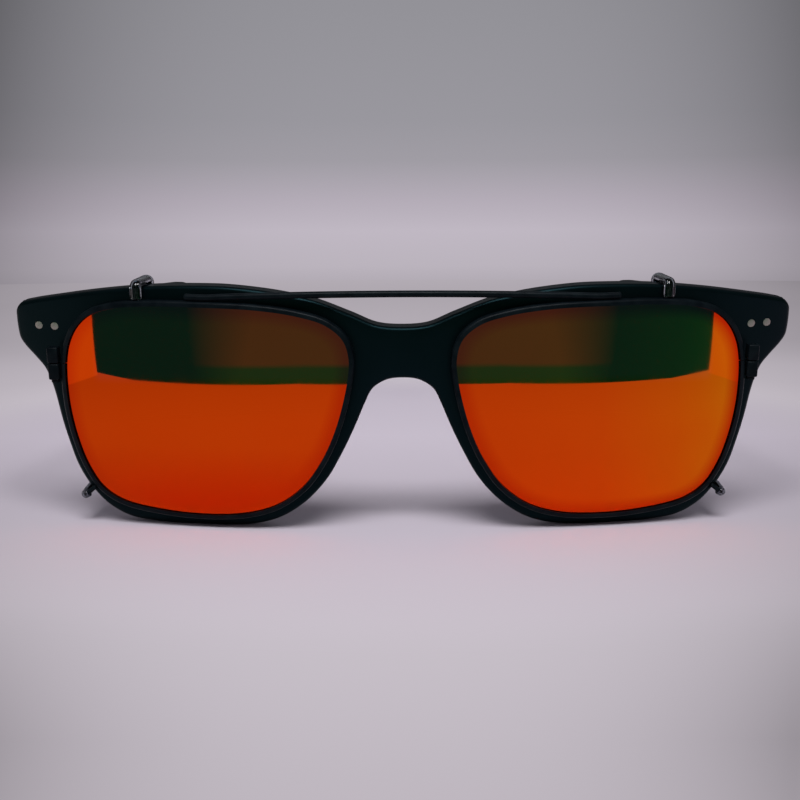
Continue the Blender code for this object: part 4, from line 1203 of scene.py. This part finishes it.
# Colours
BLACK = (0.0, 0.0, 0.0)
ACETATE_COLOURS = ((0.0005, 0.0016, 0.0021), (0.001, 0.0026, 0.0033))
RIM_BAND = (0.6 * MM, 3.0 * MM)
COAT_RIM = (0.68, 0.035, 0.001)
COAT_ACROSS = ((-0.064, (0.775, 0.07, 0.001)), (0.008, (0.795, 0.072, 0.002)),
               (0.036, (0.815, 0.086, 0.002)), (0.05, (0.84, 0.13, 0.002)),
               (0.062, (0.88, 0.23, 0.002)))
COAT_LOW = (0.68, 0.022, 0.001)
COAT_LOW_SPAN = (4 * MM, 16 * MM)
COAT_DRIFT = (0.765, 0.06, 0.001)
# Painted glow: a faint teal emission that lightens the dark reflection over the lens's upper part, short of
# its outer edge
COAT_PAINTED_GLOW = (0.0, 0.002, 0.0052)
PAINTED_GLOW_SPAN = (27.3 * MM, 29 * MM)
PAINTED_GLOW_ASIDE = (55.2 * MM, 56.6 * MM)


def acetate_material(name, colours, roughness, edge_polish=0):
    """Tumbled satin acetate: fine haze, faint scratches, edges a little shinier"""
    material, tree, shader = new_material(name)
    cloud = noise(tree, ACETATE_CLOUD)
    grain = noise(tree, ACETATE_GRAIN, detail=4.0)
    scratch = noise(tree, ACETATE_SCRATCH, detail=5.0, stretch=SCRATCH_STRETCH)
    texture = arithmetic(tree, "ADD", times(tree, cloud, CLOUD_SHARE),
                         times(tree, scratch, 1 - CLOUD_SHARE))
    rough = ranged(tree, texture, *roughness, NOISE_MIDDLE)
    if edge_polish:
        rough = minus(tree, rough, times(tree, stored(tree, "edge"), edge_polish))
    settle(shader, Base_Color=mixed(tree, cloud, *colours), Roughness=rough, IOR=ACETATE_IOR,
           Specular_IOR_Level=ACETATE_SPECULAR, Specular_Tint=ACETATE_TINT)
    add_bump(tree, shader, arithmetic(tree, "ADD", grain, scratch), ACETATE_BUMP)
    return material


def metal_material(name, colours, roughness, metallic, grain, stretch):
    """Brushed or plated metal, lighter in patches where it is handled"""
    material, tree, shader = new_material(name)
    patch = ranged(tree, noise(tree, METAL_PATCH, detail=4.0), 0.0, 1.0, NOISE_HIGH)
    brushed = noise(tree, grain, detail=4.0, stretch=stretch)
    settle(shader, Base_Color=mixed(tree, patch, *colours), Metallic=metallic,
           Roughness=ranged(tree, brushed, *roughness, NOISE_MIDDLE), Specular_IOR_Level=METAL_SPECULAR)
    add_bump(tree, shader, brushed, METAL_BUMP)
    return material


def mirror_material():
    """The clip-on lens's front: an orange mirror coat, redder at its rim, yellower outside, with a faint
    painted teal glow over its upper part
    """
    material, tree, shader = new_material("mirror_coat")
    x, _, z = separated(tree, place_vector(tree))
    rim = ranged(tree, stored(tree, "rim"), 0.0, 1.0, RIM_BAND)
    low = times(tree, ranged(tree, z, 1.0, 0.0, COAT_LOW_SPAN),
                ranged(tree, x, 1.0, 0.0, (-LENS_SPACING, LENS_SPACING)))
    coat = mixed(tree, rim, COAT_RIM, mixed(tree, low, ramp(tree, x, COAT_ACROSS), COAT_LOW))
    drift = noise(tree, COAT_DRIFT_SIZE, detail=2.0)
    coat = mixed(tree, ranged(tree, drift, 0.0, COAT_DRIFT_MOST, NOISE_HIGH), coat, COAT_DRIFT)
    # Painted glow: emission over the lens's upper part, away from its outer edge, which lightens its dark
    # reflection
    painted_glow_mask = times(tree, ranged(tree, z, 0.0, 1.0, PAINTED_GLOW_SPAN),
                  ranged(tree, size_of(tree, x), 1.0, 0.0, PAINTED_GLOW_ASIDE))
    smear = noise(tree, COAT_SMEAR, detail=5.0, stretch=COAT_SMEAR_STRETCH)
    settle(shader, Base_Color=coat, Metallic=COAT_METALLIC, Transmission_Weight=1.0,
           IOR=SUN_LENS_IOR, Specular_IOR_Level=COAT_SPECULAR,
           Roughness=ranged(tree, smear, *COAT_ROUGHNESS, COAT_SMEAR_RANGE),
           Emission_Color=mixed(tree, painted_glow_mask, BLACK, COAT_PAINTED_GLOW), Emission_Strength=1.0)
    return material


def glass_material(name, colours, roughness, ior, cloud=GLASS_CLOUD, smear=GLASS_SMEAR, detail=4.0,
                   smear_range=NOISE_HIGH):
    """Clear or tinted plastic with faint smears"""
    material, tree, shader = new_material(name)
    smears = noise(tree, smear, detail)
    settle(shader, Base_Color=mixed(tree, noise(tree, cloud), *colours), IOR=ior,
           Roughness=ranged(tree, smears, *roughness, smear_range), Transmission_Weight=1.0)
    return material


ACETATE = acetate_material("satin_acetate", ACETATE_COLOURS, (0.34, 0.46), edge_polish=0.07)
TEMPLE_ACETATE = acetate_material("temple_acetate", ACETATE_COLOURS, (0.36, 0.48))
PAD_ACETATE = acetate_material(
    "pad_acetate", ((0.002, 0.0035, 0.0045), (0.0035, 0.0055, 0.0065)), (0.3, 0.42))
BLACK_METAL = metal_material(
    "black_metal", ((0.0015, 0.003, 0.0045), (0.004, 0.007, 0.009)), (0.3, 0.46), 0.15,
    BLACK_METAL_GRAIN, (0.15, 1, 1))
STEEL = metal_material(
    "rivet_steel", ((0.38, 0.33, 0.31), (0.52, 0.455, 0.42)), (0.36, 0.52), 1.0,
    RIVET_GRAIN, (1, 1, 0.3))
HINGE_METAL = metal_material(
    "hinge_metal", ((0.36, 0.35, 0.34), (0.5, 0.48, 0.46)), (0.25, 0.42), 1.0,
    HINGE_GRAIN, (1, 1, 0.25))
MIRROR_COAT = mirror_material()
LENS_TINT = glass_material(
    "lens_tint", ((0.3, 0.17, 0.09), (0.34, 0.2, 0.11)), (0.02, 0.06), SUN_LENS_IOR,
    cloud=TINT_CLOUD, smear=TINT_SMEAR, detail=3.0, smear_range=(0.0, 1.0))
CLEAR_LENS = glass_material(
    "clear_lens", ((0.94, 0.965, 0.96), (0.97, 0.985, 0.98)), (0.0, 0.02), EYE_LENS_IOR)
CLEAR_SLEEVE = glass_material(
    "clear_sleeve", ((0.38, 0.4, 0.43), (0.5, 0.52, 0.56)), SLEEVE_ROUGHNESS, SLEEVE_IOR)
# A darker copy of the clear sleeve for the lower prongs: painted shade, as they sit low by the table
SHADED_SLEEVE = glass_material(
    "dark_sleeve", ((0.1, 0.11, 0.13), (0.18, 0.19, 0.22)), SLEEVE_ROUGHNESS, SLEEVE_IOR)


def build_front(outline):
    """The acetate front with its lenses, pads, hinge halves and rivets"""
    eye = lens_loop(EYE_WIDTH, EYE_HEIGHT)
    tools = end_piece_tools(1) + end_piece_tools(-1)
    add_piece("acetate_front", "front_frame", "acetate", [ACETATE], "front",
              combined(front_mesh(outline, eye), tools))
    rows = [
        ("eye_lens", "frame_lens", "clear_lens", [CLEAR_LENS, CLEAR_LENS],
         lens_mesh, eye, eye_depth, EYE_LENS_THICKNESS, EYE_LENS_SEAT, BEVEL_TIP_HALF),
        ("bridge_pad", "nose_pad", "pad_acetate", [PAD_ACETATE], pad_mesh, outline),
        ("hinge_leaf_front", "front_hinge", "hinge_metal", [HINGE_METAL], front_leaf_mesh),
        ("hinge_pin", "hinge_screw", "steel", [STEEL], hinge_screw_mesh),
    ]
    end = LEAF_THICKNESS - FIT_GAP - LEAF_FACE
    for place, x in zip(("inner", "outer"), FRONT_RIVETS):
        rows.append(("pin_front_" + place, "front_rivet_" + place, "steel", [STEEL],
                     rivet_mesh, (x, face_on_line(x), 0), (x, end, 0)))
    add_sides("front", rows)


def build_temples():
    """Both temples, each with its hinge half and rivets, and the look of its core"""
    rows = [("acetate_temple", "temple", "acetate", [TEMPLE_ACETATE], temple_mesh),
            ("hinge_leaf_temple", "temple_hinge", "hinge_metal", [HINGE_METAL], temple_leaf_mesh)]
    back = TEMPLE_RIVET_BACK
    for place, z in zip(("lower", "upper"), TEMPLE_RIVETS):
        rows.append(("pin_temple_" + place, "temple_rivet_" + place, "steel", [STEEL],
                     rivet_mesh, (TEMPLE_INNER - LEAF_THICKNESS, back, z), (TEMPLE_OUTER, back, z)))
    add_sides("temple_{}", rows)
    for word, _ in SIDES:
        materials = frame["nodes"]["temple_core_" + word].data.materials
        materials.clear()
        materials.append(STEEL)


def build_clip(outline):
    """The clip-on: the bar, and each side's lens, rim, blocks, screw, hook, prong and sleeves"""
    loop = lens_loop(LENS_WIDTH, LENS_HEIGHT)
    look = ("black_metal", [BLACK_METAL])
    add_piece("bridge_bar", "clip_bar", *look, "clip_on", bar_mesh(loop))
    hook = hook_path(outline, loop)
    hook_sleeve = path_from(hook, HOOK_SLEEVE_START)
    prong = prong_path(outline, loop)
    prong_sleeve = path_from(prong, PRONG_SLEEVE_START)
    hole = WIRE_RADIUS + HAIR_GAP
    add_sides("clip_on", (
        ("sun_lens", "clip_lens", "mirror_lens", [MIRROR_COAT, LENS_TINT],
         lens_mesh, loop, clip_depth, LENS_THICKNESS, LENS_SEAT, LENS_THICKNESS / 2),
        ("sun_rim", "clip_rim", *look, rim_mesh, loop),
        ("rim_block_upper", "closing_block_upper", *look, block_mesh, loop, 1),
        ("rim_block_lower", "closing_block_lower", *look, block_mesh, loop, -1),
        ("rim_screw", "closing_screw", *look, closing_screw_mesh, loop),
        ("brow_hook", "top_hook", *look, flat_hook, wire, hook, WIRE_RADIUS),
        ("rim_prong", "lower_prong", *look, wire, prong, WIRE_RADIUS),
        ("brow_sleeve", "top_hook_sleeve", "clear_sleeve", [CLEAR_SLEEVE],
         flat_hook, tube_shell, hook_sleeve, HOOK_SLEEVE_RADIUS, hole, SLEEVE_LIP),
        # The lower prongs' sleeves take the darker copy of the clear sleeve: painted shade
        ("prong_sleeve", "lower_prong_sleeve", "clear_sleeve", [SHADED_SLEEVE],
         tube_shell, prong_sleeve, PRONG_SLEEVE_RADIUS, hole, SLEEVE_LIP),
    ))


# Stage: a pale floor that fades into a soft backdrop, a light box's sides, a dark front.
# Its lengths are in metres in the scene's frame: x to the wearer's left, y back, z up.

FLOOR_RADIUS = 1.3
WALL_HEIGHT = 1.6
STAGE_SIDES = 96

# The light box's sides, from their front to their back, which lean at their front edge
BOX_HALF_WIDTH = 0.1345
BOX_FRONT = -0.157
BOX_BACK = -0.04
BOX_HEIGHT = 0.045
BOX_FOOT_SET_BACK = 0.0035
BOX_SIDE_COLOURS = {"left": (0.62, 0.46, 0.58), "right": (0.68, 0.62, 0.6)}

# The dark front that the lenses reflect, a painted reflection that only glossy rays see on the floor and
# backdrop: a green band, brown before it, green at the sides
BAND_SPAN = (-0.195, -0.185)
FRONT_CURVE = 0.0175
FRONT_CURVE_SPAN = (0.035, 0.112)
GLASS_FRONT = 0.07
GREEN_ASIDE = (0.3, 0.6)
DARK_BAND = (0.014, 0.29, 0.12)
DARK_GREEN = (0.004, 0.125, 0.06)
DARK_BROWN = (0.07, 0.25, 0.12)
DARK_WALL_LEVEL = 0.5
# Painted shade in reflections: glossy rays see the backdrop dimmed to this share
BACK_REFLECTED = 0.26

# How the stage darkens toward the picture's sides; this fades past them and before the object
SIDE_START = -0.2638
SIDE_REACH = 0.364
SIDE_NEAREST = 0.05
SIDE_POWER = 3.0
SIDE_MOST = 1.4
SIDE_PAST = (1.1, 2.2)
SIDE_FADE = (-0.2, -0.155)
FLOOR_ASIDE = -0.022
WALL_ASIDE = 0.006
FLOOR_SHADES = ((-0.17, 0.34), (-0.11, 0.15), (0.15, 0.07), (0.2, 0.08), (0.32, 0.19),
                (0.75, 0.23), (1.2, 0.33))
WALL_SHADES = ((0.0, 0.33), (0.1, 0.42), (0.38, 0.55))

# The floor's and the backdrop's colours, and their levels by y, by distance or by height
FLOOR_COLOUR = (0.72, 0.659, 0.741)
FLOOR_GRAIN = (0.567, 0.52, 0.589)
FLOOR_GRAIN_SIZE = 1.5 * MM
FLOOR_GRAIN_MOST = 0.06
FLOOR_ROUGHNESS = 0.8
# Painted light: the floor near the object is painted brighter toward the back, where the front lamp gives it
# less light
FLOOR_PAINTED_LIGHT = ((-0.06, 0.735), (-0.02, 0.8), (0.03, 0.95), (0.09, 1.0))
GLOW_MIDDLE = 0.02
GLOW_SPAN = (0.1, 0.15)
GLOW_TONE = (1.0, 0.915, 1.01)
GLOW_LEVELS = ((0.1, 0.575), (0.14, 0.575), (0.16, 0.556), (0.19, 0.515), (0.31, 0.455),
               (0.73, 0.415), (1.3, 0.45))
WALL_COLOURS = ((0.0, (0.45, 0.412, 0.462)), (0.02, (0.495, 0.453, 0.508)),
                (0.07, (0.527, 0.479, 0.545)), (0.113, (0.456, 0.413, 0.474)),
                (0.168, (0.352, 0.335, 0.372)), (0.224, (0.319, 0.31, 0.342)),
                (0.38, (0.292, 0.287, 0.314)))

# Each light's name, place, aim, size, power and colour, and the world's light
LIGHTS = (
    ("front_light", (0, -0.36, 0.45), (0, -0.02, 0), (0.34, 0.22), 3.0, (1.0, 0.985, 1.0)),
    ("back_light", (0, 0.3, 0.3), (0, -0.03, 0.03), (0.4, 0.12), 0.05, (0.94, 0.97, 1.0)),
)
WORLD_COLOUR = (0.93, 0.92, 1.0)
WORLD_STRENGTH = 0.13
GLOWING = {"Base_Color": BLACK, "Roughness": 1.0, "Specular_IOR_Level": 0.0, "Emission_Strength": 1.0}


def stage_piece(name, mesh, material):
    """A thing of the stage, which is no piece of the object"""
    mesh.materials.append(material)
    thing = new_object(name, mesh)
    return thing


def position_parts(tree):
    """The position's x, y and z, and its distance from the middle of the floor"""
    position = tree.nodes.new("ShaderNodeNewGeometry").outputs["Position"]
    distance = tree.nodes.new("ShaderNodeVectorMath")
    distance.operation = "DISTANCE"
    distance.inputs[1].default_value = (0, GLOW_MIDDLE, 0)
    put(position, distance.inputs[0])
    return (*separated(tree, position), distance.outputs["Value"])


def light_path(tree):
    return tree.nodes.new("ShaderNodeLightPath").outputs


def toward_sides(tree, x, y, shades, middle):
    """How bright the stage looks: it darkens toward the picture's left and right edges"""
    depth = arithmetic(tree, "MAXIMUM", minus(tree, y, SIDE_START), SIDE_NEAREST)
    aside = minus(tree, arithmetic(tree, "DIVIDE", x, depth), middle)
    share = size_of(tree, arithmetic(tree, "DIVIDE", aside, SIDE_REACH))
    bent = arithmetic(tree, "MINIMUM", arithmetic(tree, "POWER", share, SIDE_POWER), SIDE_MOST)
    bent = times(tree, bent, ranged(tree, share, 1.0, 0.0, SIDE_PAST))
    seen = times(tree, light_path(tree)["Is Camera Ray"], ranged(tree, y, 0.0, 1.0, SIDE_FADE))
    return minus(tree, 1.0, times(tree, times(tree, bent, shades), seen))


def shaded(tree, colour, level):
    """A colour multiplied by a level, which may be a number or a socket"""
    return mixed(tree, level, BLACK, colour)


def reflected_ray(tree):
    """One for rays off glossy surfaces, nought for all others, also for those through glass"""
    path = light_path(tree)
    return times(tree, path["Is Glossy Ray"], minus(tree, 1.0, path["Is Transmission Ray"]))


def dark_front(tree, x, y, behind):
    """What glossy surfaces see past the light box's front, a painted reflection, and where they see it"""
    out = size_of(tree, x)
    past_lens = arithmetic(tree, "MAXIMUM", minus(tree, out, LENS_X), 0)
    aside = arithmetic(tree, "DIVIDE", past_lens, minus(tree, -GLASS_FRONT, y))
    y = minus(tree, y, ranged(tree, out, 0.0, FRONT_CURVE, FRONT_CURVE_SPAN))
    colour = mixed(tree, ranged(tree, y, 0.0, 1.0, BAND_SPAN), DARK_BROWN, DARK_BAND)
    colour = mixed(tree, ranged(tree, aside, 0.0, 1.0, GREEN_ASIDE), colour, DARK_GREEN)
    return colour, times(tree, arithmetic(tree, "LESS_THAN", y, behind), reflected_ray(tree))


def floor_material():
    """Pale floor, lit near the middle, where its colour is painted brighter toward the back, and glowing
    evenly farther out
    """
    material, tree, shader = new_material("floor")
    x, y, _, distance = position_parts(tree)
    grain = ranged(tree, noise(tree, FLOOR_GRAIN_SIZE), 0.0, FLOOR_GRAIN_MOST)
    near = shaded(tree, mixed(tree, grain, FLOOR_COLOUR, FLOOR_GRAIN), ramp(tree, y, FLOOR_PAINTED_LIGHT))
    level = toward_sides(tree, x, y, ramp(tree, y, FLOOR_SHADES), FLOOR_ASIDE)
    far = shaded(tree, GLOW_TONE, times(tree, ramp(tree, distance, GLOW_LEVELS), level))
    glow = ranged(tree, distance, 0.0, 1.0, GLOW_SPAN)
    lit = mixed(tree, glow, shaded(tree, near, level), BLACK)
    dark, hidden = dark_front(tree, x, y, BOX_FRONT)
    settle(shader, Base_Color=mixed(tree, hidden, lit, BLACK), Roughness=FLOOR_ROUGHNESS,
           Emission_Color=mixed(tree, hidden, mixed(tree, glow, BLACK, far), dark),
           Emission_Strength=1.0, Specular_IOR_Level=0.0)
    return material


def wall_material():
    """Backdrop that glows softly, brightest low down; glossy surfaces see its front dark and the rest of it
    dimmed, a painted reflection
    """
    material, tree, shader = new_material("backdrop")
    x, y, z, _ = position_parts(tree)
    level = toward_sides(tree, x, y, ramp(tree, z, WALL_SHADES), WALL_ASIDE)
    # Painted shade in reflections: the backdrop is dimmed for glossy rays
    level = times(tree, level, ranged(tree, reflected_ray(tree), 1.0, BACK_REFLECTED))
    dark, hidden = dark_front(tree, x, y, 0.0)
    settle(shader, **GLOWING, Emission_Color=mixed(
        tree, hidden, shaded(tree, ramp(tree, z, WALL_COLOURS), level), shaded(tree, dark, DARK_WALL_LEVEL)))
    return material


def build_ground():
    """The round floor, and the backdrop that stands on its edge"""
    bm = bmesh.new()
    bmesh.ops.create_circle(bm, cap_ends=True, segments=STAGE_SIDES, radius=FLOOR_RADIUS)
    stage_piece("floor", finished(bm), floor_material())
    bm = bmesh.new()
    bmesh.ops.create_cone(bm, segments=STAGE_SIDES, radius1=FLOOR_RADIUS, radius2=FLOOR_RADIUS,
                          depth=WALL_HEIGHT)
    bmesh.ops.translate(bm, vec=(0, 0, WALL_HEIGHT / 2), verts=bm.verts)
    backdrop = finished(bm)
    backdrop.flip_normals()
    backdrop.shade_smooth()
    stage_piece("backdrop", backdrop, wall_material())


def build_box_sides():
    """The light box's glowing sides, which only glossy surfaces see"""
    front = BOX_FRONT + FRONT_CURVE
    foot = front + BOX_FOOT_SET_BACK
    for word, side in SIDES:
        name = "box_side_" + word
        material, _, shader = new_material(name)
        settle(shader, **GLOWING, Emission_Color=BOX_SIDE_COLOURS[word])
        bm = bmesh.new()
        corners = ((foot, 0), (BOX_BACK, 0), (BOX_BACK, BOX_HEIGHT), (front, BOX_HEIGHT))
        bm.faces.new([bm.verts.new((side * BOX_HALF_WIDTH, y, z)) for y, z in corners])
        panel = stage_piece(name, finished(bm), material)
        panel.visible_camera = False
        panel.visible_diffuse = False
        panel.visible_shadow = False
        panel.visible_transmission = False


def build_lights():
    for name, place, target, size, power, colour in LIGHTS:
        light = bpy.data.lights.new(name, "AREA")
        light.shape = "RECTANGLE"
        light.size, light.size_y = size
        light.energy = power
        light.color = colour
        thing = new_object(name, light)
        thing.location = place
        thing.rotation_euler = (Vector(target) - Vector(place)).to_track_quat("-Z", "Y").to_euler()
    world = bpy.data.worlds.new("world")
    bpy.context.scene.world = world
    world.use_nodes = True
    background = world.node_tree.nodes["Background"]
    put(WORLD_COLOUR, background.inputs["Color"])
    put(WORLD_STRENGTH, background.inputs["Strength"])


# Camera, in the photograph's place

CAMERA_DISTANCE = 195.7 * MM
CAMERA_HEIGHT = 52.5 * MM
CAMERA_PITCH = math.radians(8.26)
CAMERA_ROLL = math.radians(-0.25)
IMAGE_PIXELS = 800
FOCAL_PIXELS = 1082
CENTRE_PIXELS_RIGHT = 2.9
SENSOR_WIDTH = 36.0
CLIP_DISTANCES = (0.005, 10)


def build_camera():
    camera = bpy.data.cameras.new("camera")
    camera.sensor_width = SENSOR_WIDTH
    camera.lens = SENSOR_WIDTH * FOCAL_PIXELS / IMAGE_PIXELS
    camera.clip_start, camera.clip_end = CLIP_DISTANCES
    thing = new_object("camera", camera)
    yaw = math.atan(CENTRE_PIXELS_RIGHT / FOCAL_PIXELS)
    turn = (Matrix.Rotation(yaw, 4, "Z") @ Matrix.Rotation(math.radians(90) - CAMERA_PITCH, 4, "X")
            @ Matrix.Rotation(CAMERA_ROLL, 4, "Z"))
    place = Matrix.Translation((0, FRONT.translation.y - CAMERA_DISTANCE, CAMERA_HEIGHT))
    thing.matrix_world = place @ turn
    bpy.context.scene.camera = thing


OUTLINE = front_loop()
build_camera()
build_front(OUTLINE)
build_clip(OUTLINE)
build_temples()
build_ground()
build_box_sides()
build_lights()
bpy.context.scene.view_settings.view_transform = "Standard"

bpy.context.view_layer.update()
